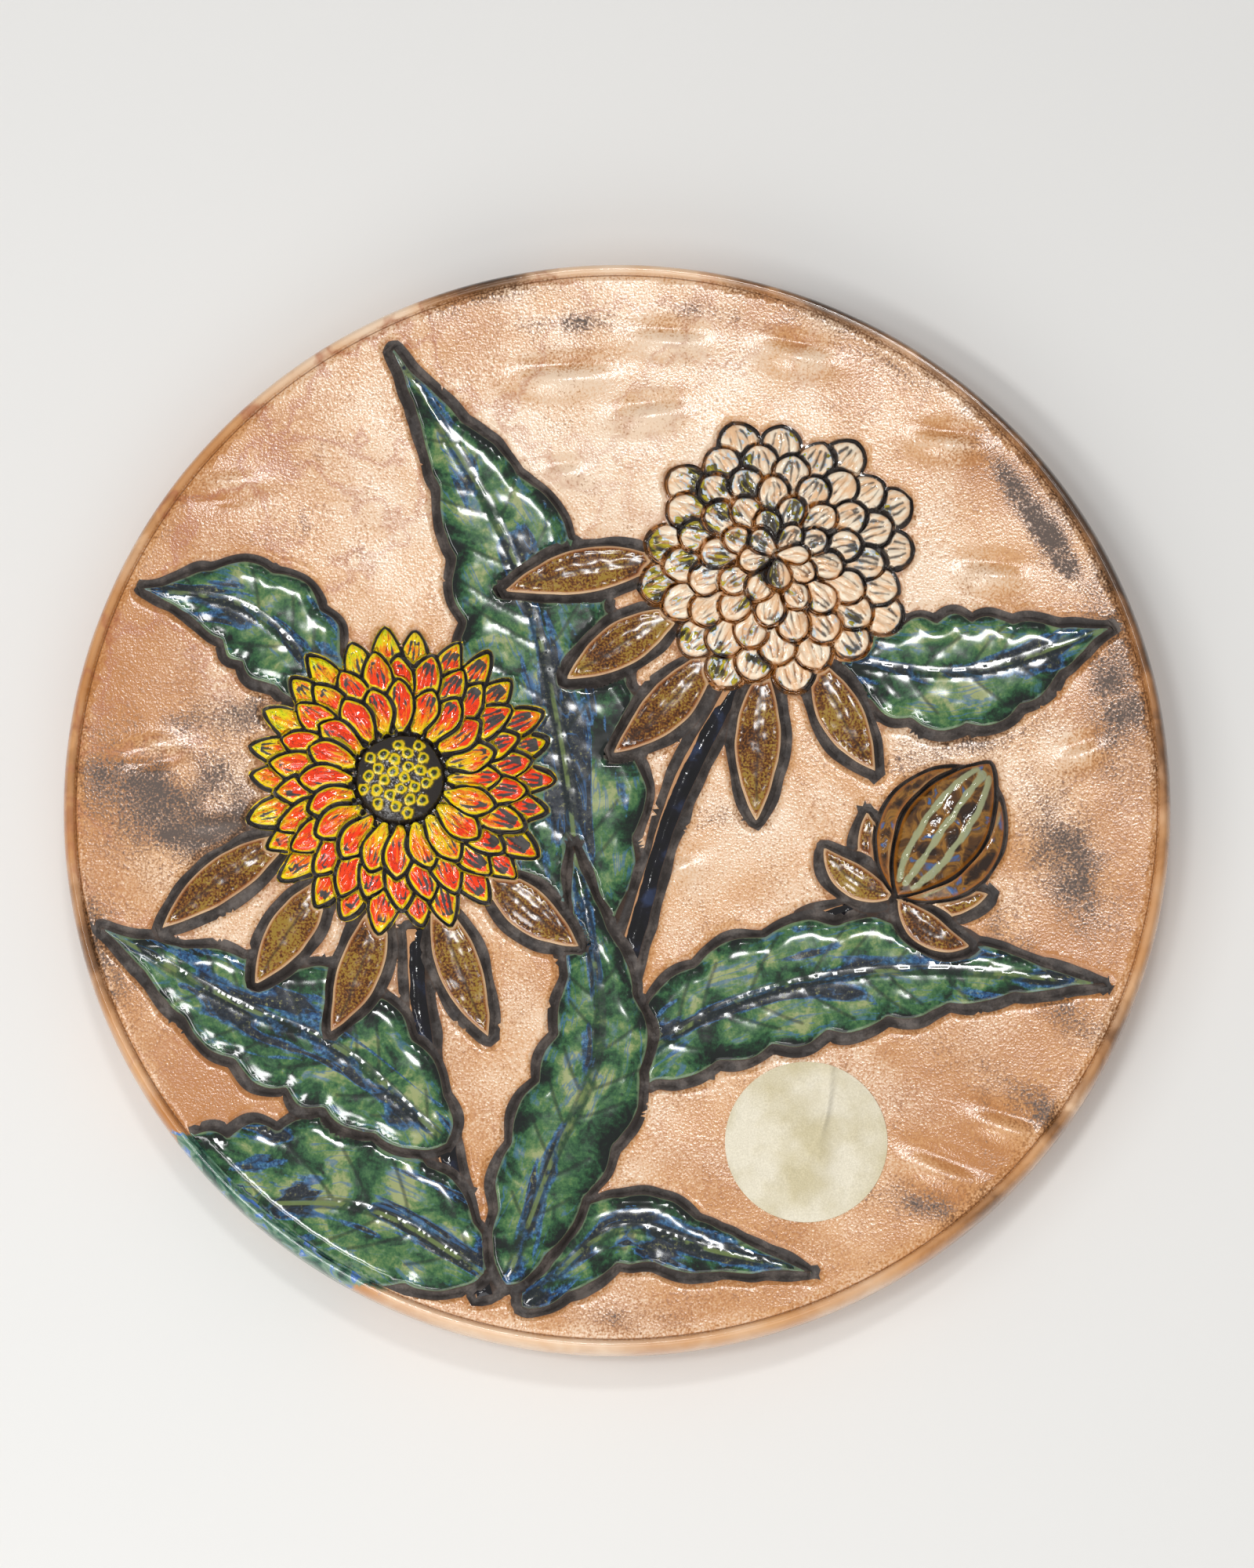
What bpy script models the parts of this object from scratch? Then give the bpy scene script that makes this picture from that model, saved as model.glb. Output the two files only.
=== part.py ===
"""Round stoneware wall plate with a carved flower relief, and the foil sticker on its face.

Units are metres, +Z up. The plate hangs upright: its face looks along -Y and the wall is on the
+Y side. The origin is on the back of the foot ring, at its top, where the plate rests on the wall.
The face is worked out lying flat, x to the right, y up the picture and height above the wall, and
is then stood up. The carved picture's layout is in shares of the field's radius.
"""
import math

import bmesh
import bpy
import numpy as np
from mathutils import Matrix, Vector
from mathutils.geometry import delaunay_2d_cdt

# Plate body
PLATE_RADIUS = 0.145
RIM_WIDTH = 0.0037
RIM_RISE = 0.0013
RIM_CREST_INSET = 0.0021
BODY_THICKNESS = 0.0082
DISH_DEPTH = 0.0040
SHOULDER_DROP = 0.0045
EDGE_ROUNDING = 0.0042
LINE_WIDTH = 0.0008
LINE_DEPTH = 0.0005

# Foot ring and the two holes for the hanging wire
FOOT_OUTER_RADIUS = 0.093
FOOT_WIDTH = 0.0075
FOOT_HEIGHT = 0.0078
FOOT_ROUNDING = 0.0012
WIRE_HOLE_RADIUS = 0.0016
WIRE_HOLE_SPACING = 0.028

# Foil sticker
STICKER_RADIUS = 0.021
STICKER_THICKNESS = 0.0003
STICKER_GAP = 0.0003
STICKER_PLACE = (0.348, -0.638)
STICKER_SEAT_MARGIN = 0.0015

# Carving
GROOVE_WIDTH = 0.0026
GROOVE_DEPTH = 0.0011
PETAL_GROOVE_WIDTH = 0.0012
PETAL_GROOVE_DEPTH = 0.0009
EDGE_STEP = 0.0005
LEAF_CROWN = 0.0009
LEAF_SHOULDER = 0.005
LEAF_CREASE = 0.0007
LEAF_CREASE_WIDTH = 0.0016
CONTOUR_SHARE = 0.55
INNER_SHARE = 0.3
SEPAL_CROWN = 0.0008
PETAL_CROWN = 0.0007
PETAL_SHOULDER = 0.002
STEM_WIDTH = 0.0046
STEM_CROWN = 0.0008
SEED_CROWN = 0.0012
SEED_SHOULDER = 0.006
RAYED_BLOOM_RISE = 0.0029
SCALED_BLOOM_RISE = 0.0032
BUD_CROWN = 0.0026
BUD_SHOULDER = 0.008
RIM_FADE = 0.003

# Faceting
RING_SIDES = 60
STICKER_SIDES = 28
GRID_STEP = 0.012
CLOSEST_POINTS = 0.0008
LEAF_POINTS = 22
STEM_POINTS = 10
SEPAL_POINTS = 8
PETAL_POINTS = 6
BUD_POINTS = 10
SEED_POINTS = 20
MERGE_DISTANCE = 0.00001

FIELD_RADIUS = PLATE_RADIUS - RIM_WIDTH
FACE_RADIUS = FIELD_RADIUS - LINE_WIDTH / 2
FOOT_INNER_RADIUS = FOOT_OUTER_RADIUS - FOOT_WIDTH
FOOT_MIDDLE_RADIUS = FOOT_OUTER_RADIUS - FOOT_WIDTH / 2
GOLDEN_ANGLE = math.pi * (3 - math.sqrt(5))


def to_linear(channel):
    """One sRGB channel, 0 to 255, as the linear value that a shader takes."""
    share = channel / 255
    if share <= 0.04045:
        return share / 12.92
    return ((share + 0.055) / 1.055) ** 2.4


def make_material(name, colour, roughness, metallic):
    """A plain Principled material."""
    material = bpy.data.materials.new(name)
    material.use_nodes = True
    shader = material.node_tree.nodes["Principled BSDF"]
    shader.inputs["Base Color"].default_value = [to_linear(channel) for channel in colour] + [1.0]
    shader.inputs["Roughness"].default_value = roughness
    shader.inputs["Metallic"].default_value = metallic
    return material


# Body profile


def field_height(radius):
    """Height of the plain ground above the wall: a shallow dish."""
    return FOOT_HEIGHT + BODY_THICKNESS + DISH_DEPTH * (radius / FIELD_RADIUS) ** 2


def quarter(start, end, steps, sideways_first):
    """Points of a quarter ellipse after start, up to end."""
    points = []
    for step in range(1, steps + 1):
        turn = math.pi / 2 * step / steps
        first, second = math.sin(turn), 1 - math.cos(turn)
        if not sideways_first:
            first, second = second, first
        radius = start[0] + (end[0] - start[0]) * first
        height = start[1] + (end[1] - start[1]) * second
        points.append((radius, height))
    return points


def body_profile():
    """Radius and height from the field's edge over the rim, round the foot ring and in to the middle."""
    edge = field_height(FIELD_RADIUS)
    crest = (PLATE_RADIUS - RIM_CREST_INSET, edge + RIM_RISE)
    rim_foot = (FIELD_RADIUS + LINE_WIDTH / 2, edge)
    shoulder = (PLATE_RADIUS, edge - SHOULDER_DROP)
    wall_foot = (PLATE_RADIUS, FOOT_HEIGHT + EDGE_ROUNDING)
    underside = (PLATE_RADIUS - EDGE_ROUNDING, FOOT_HEIGHT)
    rounding = FOOT_ROUNDING
    points = [(FACE_RADIUS, field_height(FACE_RADIUS)), (FIELD_RADIUS, edge - LINE_DEPTH), rim_foot]
    points += quarter(rim_foot, crest, 2, False)
    points += quarter(crest, shoulder, 4, True)
    points += [wall_foot]
    points += quarter(wall_foot, underside, 3, False)
    points += [(FOOT_OUTER_RADIUS + rounding, FOOT_HEIGHT)]
    points += [(FOOT_OUTER_RADIUS, FOOT_HEIGHT - rounding)]
    points += [(FOOT_OUTER_RADIUS, rounding)]
    points += quarter((FOOT_OUTER_RADIUS, rounding), (FOOT_OUTER_RADIUS - rounding, 0), 2, False)
    points += [(FOOT_INNER_RADIUS + rounding, 0)]
    points += quarter((FOOT_INNER_RADIUS + rounding, 0), (FOOT_INNER_RADIUS, rounding), 2, True)
    points += [(FOOT_INNER_RADIUS, FOOT_HEIGHT - rounding)]
    points += [(FOOT_INNER_RADIUS - rounding, FOOT_HEIGHT)]
    points += [(0, FOOT_HEIGHT)]
    return points


# Outlines of the carved figures


def place(share):
    """A point of the layout in metres."""
    return np.array(share, float) * FIELD_RADIUS


def heading(angle):
    """Unit step in a direction."""
    return np.array([math.cos(angle), math.sin(angle)])


def curve_through(shares, count):
    """A smooth path through a few layout points, as evenly spaced points."""
    knots = np.array([place(share) for share in shares])
    knots = np.vstack([2 * knots[0] - knots[1], knots, 2 * knots[-1] - knots[-2]])
    share = np.linspace(0, 1, 24, endpoint=False)[:, None]
    spans = []
    for before, start, end, after in zip(knots[:-3], knots[1:-2], knots[2:-1], knots[3:]):
        slope = (end - before) * share
        curve = (2 * before - 5 * start + 4 * end - after) * share ** 2
        twist = (3 * start - before - 3 * end + after) * share ** 3
        spans.append(start + 0.5 * (slope + curve + twist))
    fine = np.vstack(spans + [knots[-2:-1]])
    run = np.concatenate([[0], np.cumsum(np.hypot(*np.diff(fine, axis=0).T))])
    stations = np.linspace(0, run[-1], count)
    return np.column_stack([np.interp(stations, run, fine[:, axis]) for axis in (0, 1)])


def strip(spine, left, right):
    """Closed outline, counter-clockwise, at the given half widths on both sides of a path."""
    along = np.gradient(spine, axis=0)
    along /= np.hypot(*along.T)[:, None]
    side = np.column_stack([-along[:, 1], along[:, 0]])
    return np.vstack([spine - side * right[:, None], (spine + side * left[:, None])[::-1]])


def swelling(share, widest):
    """A width that starts and ends at nothing and is largest at the share named widest."""
    return np.sin(np.pi * share ** (math.log(0.5) / math.log(widest)))


def edge_gap(points, start, end):
    """Squared distance from points to the straight edge between two others."""
    edge = end - start
    share = np.clip((points - start) @ edge / max(edge @ edge, MERGE_DISTANCE ** 2), 0, 1)
    return ((points - start - share[:, None] * edge) ** 2).sum(axis=1)


def path_distance(points, path):
    """Distance to an open path."""
    gaps = [edge_gap(points, start, end) for start, end in zip(path[:-1], path[1:])]
    return np.sqrt(np.min(gaps, axis=0))


def signed_distance(points, outline):
    """Distance to a closed outline, positive inside it."""
    nearest = path_distance(points, np.vstack([outline, outline[:1]]))
    inside = np.zeros(len(points), bool)
    for start, end in zip(outline, np.roll(outline, -1, axis=0)):
        spans = (start[1] > points[:, 1]) != (end[1] > points[:, 1])
        if spans.any():
            slope = (end[0] - start[0]) / (end[1] - start[1])
            inside ^= spans & (points[:, 0] < start[0] + slope * (points[:, 1] - start[1]))
    return np.where(inside, nearest, -nearest)


class Figure:
    """One carved shape of the picture, with the groove cut round it."""

    def __init__(self, outline, spine=None, contour=None, groove=GROOVE_WIDTH, depth=GROOVE_DEPTH,
                 step=EDGE_STEP, crown=LEAF_CROWN, shoulder=LEAF_SHOULDER, crease=0.0, bloom=None,
                 has_lip=True):
        self.outline = outline
        self.spine = spine
        self.contour = contour
        self.groove = groove
        self.depth = depth
        self.step = step
        self.crown = crown
        self.shoulder = shoulder
        self.crease = crease
        self.bloom = bloom
        self.has_lip = has_lip

    def base(self, points):
        """Height of the swelling that the figure is carved on."""
        if self.bloom is None:
            return np.zeros(len(points))
        centre, radius, rise = self.bloom
        share = np.hypot(*(points - centre).T) / radius
        return rise * np.clip(1 - share ** 2, 0, 1)

    def surface(self, points, distance):
        """Height inside the outline: rounded up from its edge, with a crease along its middle."""
        rise = 1 - (1 - np.clip(distance / self.shoulder, 0, 1)) ** 2
        height = self.base(points) + self.step + self.crown * rise
        if self.crease:
            gap = path_distance(points, self.spine)
            height = height - self.crease * np.clip(1 - gap / LEAF_CREASE_WIDTH, 0, 1)
        return height

    def covers(self, points, margin):
        """Which points lie inside the outline or its groove."""
        reach = self.groove + margin
        near = np.all((points > self.outline.min(0) - reach) & (points < self.outline.max(0) + reach), axis=1)
        hidden = np.zeros(len(points), bool)
        if near.any():
            hidden[near] = signed_distance(points[near], self.outline) > -reach
        return hidden

    def carve(self, points, height):
        """Lay the figure over the heights made so far and cut its groove."""
        reach = self.groove
        near = np.all((points > self.outline.min(0) - reach) & (points < self.outline.max(0) + reach), axis=1)
        if not near.any():
            return
        local = points[near]
        behind = height[near]
        distance = signed_distance(local, self.outline)
        base = self.base(local)
        share = np.clip(-distance / self.groove, 0, 1)
        bottom = np.minimum(base - self.depth, behind)
        inner_wall = (base + self.step - bottom) * np.clip(1 - 3 * share, 0, 1)
        outer_wall = (behind - bottom) * np.clip(3 * share - 2, 0, 1)
        groove = bottom + inner_wall + outer_wall
        height[near] = np.where(distance >= 0, self.surface(local, distance), groove)


def leaf(shares, half_width, scallops, widest=0.40):
    """A pointed leaf with a scalloped margin and a creased midrib."""
    spine = curve_through(shares, LEAF_POINTS)
    along = np.linspace(0, 1, LEAF_POINTS)
    body = half_width * FIELD_RADIUS * swelling(along, widest) ** (0.75 + 0.6 * along)
    left = body * (0.90 + 0.16 * np.abs(np.sin(np.pi * scallops * along)))
    right = body * (0.90 + 0.16 * np.abs(np.sin(np.pi * scallops * along + 1.2)))
    contour = strip(spine, CONTOUR_SHARE * left, CONTOUR_SHARE * right)
    return Figure(strip(spine, left, right), spine=spine, contour=contour, crease=LEAF_CREASE)


def stem(shares):
    """A low round stalk."""
    spine = curve_through(shares, STEM_POINTS)
    half = np.full(STEM_POINTS, STEM_WIDTH / 2)
    return Figure(strip(spine, half, half), spine=spine, step=0.0, crown=STEM_CROWN, shoulder=STEM_WIDTH / 2)


def blade(root, angle, length, half_width, count, widest, fullness, bend):
    """Outline and spine of a petal or sepal that leaves its root at an angle and bends on its way."""
    along = np.linspace(0, 1, count)
    turns = angle + bend * along[:-1]
    steps = np.column_stack([np.cos(turns), np.sin(turns)]) * length / (count - 1)
    spine = np.array(root) + np.vstack([[0, 0], np.cumsum(steps, axis=0)])
    half = half_width * swelling(along, widest) ** fullness
    return strip(spine, half, half), spine


def sepal(root, angle, length, half_width, bend):
    """One brown sepal."""
    outline, spine = blade(root, angle, length, half_width, SEPAL_POINTS, 0.5, 0.9, bend)
    return Figure(outline, spine=spine, crown=SEPAL_CROWN, shoulder=half_width)


def calyx(centre, start, length, half_width, first, last, count, bend):
    """A fan of sepals that hang below a bloom."""
    figures = []
    for number, degrees in enumerate(np.linspace(first, last, count)):
        angle = math.radians(degrees)
        root = place(centre) + heading(angle) * start * FIELD_RADIUS
        reach = length * FIELD_RADIUS * (1 + 0.12 * math.cos(2.4 * number))
        turn = bend * math.sin(1.9 * number + 1)
        figures.append(sepal(root, angle, reach, half_width * FIELD_RADIUS, turn))
    return figures


def petal(root, angle, length, half_width, widest, fullness, bend, bloom, has_lip):
    """One petal of a bloom."""
    outline, spine = blade(root, angle, length, half_width, PETAL_POINTS, widest, fullness, bend)
    return Figure(outline, spine=spine, groove=PETAL_GROOVE_WIDTH, depth=PETAL_GROOVE_DEPTH,
                  step=EDGE_STEP / 2, crown=PETAL_CROWN, shoulder=PETAL_SHOULDER, bloom=bloom,
                  has_lip=has_lip)


def rayed_bloom(centre, radius, rings, seed_share):
    """Rings of narrow petals round a domed seed disc."""
    middle = place(centre)
    reach = radius * FIELD_RADIUS
    bloom = (middle, reach, RAYED_BLOOM_RISE)
    figures = []
    for number, (count, start, end, half_width) in enumerate(rings):
        for step in range(count):
            angle = 2 * math.pi * (step + 0.5 * (number % 2)) / count
            length = reach * (end - start) * (0.98 + 0.05 * math.sin(3.7 * step + number))
            root = middle + heading(angle) * reach * start
            bend = 0.12 * math.sin(2.3 * step + number)
            figures.append(petal(root, angle, length, reach * half_width, 0.6, 0.8, bend, bloom, number == 0))
    turns = np.linspace(0, 2 * math.pi, SEED_POINTS, endpoint=False)
    circle = reach * seed_share * np.column_stack([np.cos(turns), np.sin(turns)])
    figures.append(Figure(middle + circle, spine=middle[None], contour=middle + CONTOUR_SHARE * circle,
                          groove=PETAL_GROOVE_WIDTH, depth=PETAL_GROOVE_DEPTH, crown=SEED_CROWN,
                          shoulder=SEED_SHOULDER, bloom=bloom, has_lip=False))
    return figures


def scaled_bloom(centre, radius, count):
    """Short petals that overlap like scales along a golden spiral, the inner ones in front."""
    middle = place(centre)
    reach = radius * FIELD_RADIUS
    bloom = (middle, reach, SCALED_BLOOM_RISE)
    figures = []
    for number in reversed(range(count)):
        share = math.sqrt((number + 0.5) / count)
        angle = number * GOLDEN_ANGLE
        length = reach * (0.20 + 0.20 * share)
        root = middle + heading(angle) * max(reach * share - length, 0)
        half_width = reach * (0.055 + 0.075 * share)
        figures.append(petal(root, angle, length, half_width, 0.66, 0.6, 0.0, bloom, share > 0.75))
    return figures


def bud(base, degrees, length, half_width):
    """A closed bud of three petals over four short sepals."""
    root = place(base)
    angle = math.radians(degrees)
    figures = []
    for turn in (1.25, -1.25, 2.1, -2.1):
        figures.append(sepal(root, angle + turn, 0.17 * FIELD_RADIUS, 0.030 * FIELD_RADIUS, -0.5 * turn))
    for turn, reach in ((0.42, 0.9), (-0.42, 0.9), (0.0, 1.0)):
        half = half_width * FIELD_RADIUS
        outline, spine = blade(root, angle + turn, length * reach * FIELD_RADIUS, half, BUD_POINTS, 0.5, 0.8,
                               -1.4 * turn)
        figures.append(Figure(outline, spine=spine, groove=PETAL_GROOVE_WIDTH, crown=BUD_CROWN,
                              shoulder=BUD_SHOULDER))
    return figures


def picture():
    """Every carved figure, from the back of the picture to its front."""
    orange = (-0.40, 0.04)
    cream = (0.30, 0.46)
    bud_base = (0.52, -0.18)
    figures = [
        leaf([(-0.06, -0.30), (-0.10, 0.10), (-0.20, 0.48), (-0.42, 0.86)], 0.150, 9),
        leaf([(-0.52, 0.20), (-0.68, 0.36), (-0.88, 0.40)], 0.095, 5),
        leaf([(0.42, 0.26), (0.66, 0.24), (0.92, 0.32)], 0.105, 6),
        stem([(-0.17, -0.90), (-0.07, -0.62), (0.02, -0.30), (0.11, 0.00), (0.22, 0.22)]),
        stem([(-0.07, -0.62), (0.06, -0.42), (0.26, -0.28), (0.50, -0.18)]),
        stem([(-0.24, -0.92), (-0.31, -0.66), (-0.36, -0.42), (-0.37, -0.24)]),
        leaf([(-0.02, -0.52), (0.24, -0.37), (0.54, -0.32), (0.90, -0.35)], 0.108, 8),
        leaf([(-0.24, -0.88), (-0.46, -0.76), (-0.76, -0.74), (-1.08, -0.60)], 0.150, 8),
        leaf([(-0.31, -0.64), (-0.50, -0.47), (-0.70, -0.38), (-0.95, -0.24)], 0.120, 7),
        leaf([(-0.17, -0.94), (0.00, -0.80), (0.18, -0.84), (0.36, -0.88)], 0.062, 5),
        leaf([(-0.20, -0.90), (-0.12, -0.68), (-0.03, -0.44), (-0.08, -0.08)], 0.095, 7),
    ]
    figures += calyx(orange, 0.22, 0.27, 0.040, -152, -47, 5, 0.35)
    figures += calyx(cream, 0.20, 0.28, 0.042, -178, -70, 5, 0.35)
    rings = [(26, 0.42, 1.00, 0.088), (26, 0.36, 0.84, 0.088), (20, 0.28, 0.64, 0.085)]
    figures += rayed_bloom(orange, 0.285, rings, 0.28)
    figures += scaled_bloom(cream, 0.270, 64)
    figures += bud(bud_base, 55, 0.30, 0.075)
    return figures


# The carved face


def relief_height(points, figures):
    """Height of the carving over the plain ground, none at the rim and none raised under the sticker."""
    height = np.zeros(len(points))
    for figure in figures:
        figure.carve(points, height)
    radius = np.hypot(*points.T)
    height *= np.clip((FACE_RADIUS - radius) / RIM_FADE, 0, 1)
    seat = np.hypot(*(points - place(STICKER_PLACE)).T) - STICKER_RADIUS - STICKER_SEAT_MARGIN
    return np.minimum(height, np.maximum(seat, 0))


def outward_offset(outline, distance):
    """The outline moved outwards, without the points that a hollow corner would crowd."""
    along = np.roll(outline, -1, axis=0) - np.roll(outline, 1, axis=0)
    along /= np.maximum(np.hypot(*along.T)[:, None], MERGE_DISTANCE)
    moved = outline + np.column_stack([along[:, 1], -along[:, 0]]) * distance
    clear = signed_distance(moved, outline) < -0.8 * distance
    return moved, clear


def carving_lines(figures):
    """Open and closed point chains along outlines, groove bottoms, groove lips and midribs."""
    chains = []
    for index, figure in enumerate(figures):
        closed = []
        whole = np.ones(len(figure.outline), bool)
        closed.append((figure.outline, whole))
        if figure.has_lip:
            closed.append(outward_offset(figure.outline, figure.groove / 2))
            closed.append(outward_offset(figure.outline, figure.groove))
        else:
            closed.append(outward_offset(figure.outline, 0.8 * figure.groove))
        for points, keep in closed:
            chains.append((index, np.vstack([points, points[:1]]), np.append(keep, keep[0])))
        for inner in (figure.spine, figure.contour):
            if inner is not None:
                inside = signed_distance(inner, figure.outline) > INNER_SHARE * figure.shoulder
                chains.append((index, inner, inside))
    return chains


def face_points(figures):
    """Points of the face and the edges that the triangles must follow."""
    turns = np.linspace(0, 2 * math.pi, RING_SIDES, endpoint=False)
    points = [FACE_RADIUS * heading(turn) for turn in turns]
    edges = [(side, (side + 1) % RING_SIDES) for side in range(RING_SIDES)]

    def add(point, spacing):
        """Number of a new point, of the old one beside it, or None where one is too close."""
        gaps = np.hypot(*(np.array(points) - point).T)
        closest = int(np.argmin(gaps))
        if gaps[closest] < MERGE_DISTANCE:
            return closest
        if gaps[closest] < spacing:
            return None
        points.append(point)
        return len(points) - 1

    for index, chain, keep in carving_lines(figures):
        hidden = np.hypot(*chain.T) > FACE_RADIUS - RIM_FADE
        for front in figures[index + 1:]:
            hidden |= front.covers(chain, CLOSEST_POINTS / 2)
        last = None
        for point, kept in zip(chain, keep & ~hidden):
            number = add(point, CLOSEST_POINTS) if kept else None
            if number is not None and last is not None and number != last:
                edges.append((last, number))
            last = number
    steps = int(FACE_RADIUS / GRID_STEP) + 1
    rows, columns = np.mgrid[-steps:steps + 1, -steps:steps + 1].reshape(2, -1)
    grid = np.column_stack([columns + 0.5 * (rows % 2), rows * math.sqrt(3) / 2]) * GRID_STEP
    plain = np.hypot(*grid.T) < FACE_RADIUS - GRID_STEP / 2
    for figure in figures:
        plain &= ~figure.covers(grid, 0)
    for point in grid[plain]:
        add(point, 0.38 * GRID_STEP)
    return points, edges


def add_face(mesh):
    """The carved field, up to the line inside the rim."""
    figures = picture()
    points, edges = face_points(figures)
    flat = [Vector(point) for point in points]
    corners, _, faces, _, _, _ = delaunay_2d_cdt(flat, edges, [], 0, MERGE_DISTANCE / 10)
    spots = np.array([tuple(corner) for corner in corners])
    heights = field_height(np.hypot(*spots.T)) + relief_height(spots, figures)
    made = [mesh.verts.new((*spot, height)) for spot, height in zip(spots, heights)]
    for face in faces:
        mesh.faces.new([made[corner] for corner in face])


def add_body(mesh):
    """The rim, the back and the foot ring, turned from one profile."""
    outline = [mesh.verts.new((radius, 0, height)) for radius, height in body_profile()]
    edges = [mesh.edges.new(pair) for pair in zip(outline[:-1], outline[1:])]
    bmesh.ops.spin(mesh, geom=outline + edges, cent=(0, 0, 0), axis=(0, 0, 1), angle=2 * math.pi,
                   steps=RING_SIDES, use_merge=True)


def stand_up():
    """Turns the flat layout upright, with the top of the foot ring at the origin."""
    return Matrix.Translation((0, 0, -FOOT_MIDDLE_RADIUS)) @ Matrix.Rotation(math.pi / 2, 4, "X")


def finish_object(name, mesh, material):
    """An object from a closed bmesh, upright, smooth where its surface is round."""
    bmesh.ops.triangulate(mesh, faces=mesh.faces)
    bmesh.ops.recalc_face_normals(mesh, faces=mesh.faces)
    data = bpy.data.meshes.new(name)
    mesh.to_mesh(data)
    mesh.free()
    data.transform(stand_up())
    data.materials.append(material)
    data.shade_smooth()
    data.set_sharp_from_angle(angle=math.radians(35))
    made = bpy.data.objects.new(name, data)
    bpy.context.collection.objects.link(made)
    return made


def wire_hole(side):
    """Cutter for one wire hole, radial through the foot ring."""
    turn = side * WIRE_HOLE_SPACING / 2 / FOOT_MIDDLE_RADIUS
    length = 2 * FOOT_WIDTH
    mesh = bmesh.new()
    bmesh.ops.create_cone(mesh, cap_ends=True, segments=12, radius1=WIRE_HOLE_RADIUS,
                          radius2=WIRE_HOLE_RADIUS, depth=length)
    cutter_place = Matrix.Rotation(turn, 4, "Y") @ Matrix.Translation((0, -FOOT_HEIGHT / 2, FOOT_MIDDLE_RADIUS))
    data = bpy.data.meshes.new("wire_hole_cutter")
    mesh.to_mesh(data)
    mesh.free()
    data.transform(Matrix.Translation((0, 0, -FOOT_MIDDLE_RADIUS)) @ cutter_place)
    cutter = bpy.data.objects.new("wire_hole_cutter", data)
    bpy.context.collection.objects.link(cutter)
    cutter.hide_render = True
    cutter.display_type = "WIRE"
    return cutter


def make_plate():
    """The whole ceramic piece."""
    mesh = bmesh.new()
    add_body(mesh)
    add_face(mesh)
    bmesh.ops.remove_doubles(mesh, verts=mesh.verts, dist=MERGE_DISTANCE)
    bmesh.ops.dissolve_degenerate(mesh, edges=mesh.edges, dist=MERGE_DISTANCE)
    plate = finish_object("plate", mesh, make_material("peach glaze", (215, 165, 118), 0.4, 0.0))
    for side in (-1, 1):
        cut = plate.modifiers.new("wire hole", "BOOLEAN")
        cut.operation = "DIFFERENCE"
        cut.solver = "EXACT"
        cut.object = wire_hole(side)
    return plate


def make_sticker():
    """The thin foil disc, dished like the ground that it lies on."""
    mesh = bmesh.new()
    centre = place(STICKER_PLACE)
    turns = np.linspace(0, 2 * math.pi, STICKER_SIDES, endpoint=False)
    skins = []
    for lift in (STICKER_GAP, STICKER_GAP + STICKER_THICKNESS):
        rings = []
        for share in (1.0, 0.5):
            spots = [centre + share * STICKER_RADIUS * heading(turn) for turn in turns]
            rings.append([mesh.verts.new((*spot, field_height(np.hypot(*spot)) + lift)) for spot in spots])
        middle = mesh.verts.new((*centre, field_height(np.hypot(*centre)) + lift))
        skins.append(rings)
        for side in range(STICKER_SIDES):
            after = (side + 1) % STICKER_SIDES
            mesh.faces.new((rings[0][side], rings[0][after], rings[1][after], rings[1][side]))
            mesh.faces.new((rings[1][side], rings[1][after], middle))
    for side in range(STICKER_SIDES):
        after = (side + 1) % STICKER_SIDES
        mesh.faces.new((skins[0][0][side], skins[0][0][after], skins[1][0][after], skins[1][0][side]))
    return finish_object("foil_label", mesh, make_material("gold foil", (222, 204, 160), 0.3, 1.0))


for old in list(bpy.data.objects):
    bpy.data.objects.remove(old)
make_plate()
make_sticker()
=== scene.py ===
"""Finish of the round relief wall plate: fine carving, glazes, foil sticker, backdrop, light, camera.

Units are metres, +Z up. The plate hangs upright and faces -Y. Its face is worked out lying flat,
x to the right, y up the picture and height above the wall, and is then stood up. The picture's
layout is in shares of the field's radius, and patterns are in millimetres.
"""
import logging
import math
from collections.abc import Callable
from dataclasses import dataclass, field
from enum import Enum
from functools import partial

import bpy
import numpy as np
from bpy.types import Material, Mesh, NodeSocket, NodeTree, Object
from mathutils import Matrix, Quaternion, Vector
from mathutils.geometry import delaunay_2d_cdt


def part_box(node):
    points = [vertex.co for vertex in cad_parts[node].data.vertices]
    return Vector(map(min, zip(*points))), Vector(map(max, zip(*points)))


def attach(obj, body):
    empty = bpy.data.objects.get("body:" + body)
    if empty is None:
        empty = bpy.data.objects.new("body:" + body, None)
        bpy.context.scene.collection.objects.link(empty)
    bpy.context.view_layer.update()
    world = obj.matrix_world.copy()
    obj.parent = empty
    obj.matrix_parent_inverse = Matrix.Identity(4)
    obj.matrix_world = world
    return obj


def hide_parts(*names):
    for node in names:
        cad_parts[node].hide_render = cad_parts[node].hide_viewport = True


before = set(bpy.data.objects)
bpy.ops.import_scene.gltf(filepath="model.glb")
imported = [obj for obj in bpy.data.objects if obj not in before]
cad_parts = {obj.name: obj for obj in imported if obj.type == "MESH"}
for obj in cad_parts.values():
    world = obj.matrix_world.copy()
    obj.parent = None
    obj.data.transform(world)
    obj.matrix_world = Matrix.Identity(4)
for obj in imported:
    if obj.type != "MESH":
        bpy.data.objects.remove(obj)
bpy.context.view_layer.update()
PLATE_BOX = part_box("plate")
STICKER_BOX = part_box("foil_label")

Array = np.ndarray
Pair = tuple[float, float]
AddNode = Callable[..., NodeSocket]
Sockets = dict[str, NodeSocket]
LOG = logging.getLogger("wall_plate")
# Settings of a range whose ends are eased
EASED = {"interpolation_type": "SMOOTHSTEP"}
MM = 0.001
TOUCH = 0.01 * MM
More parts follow.
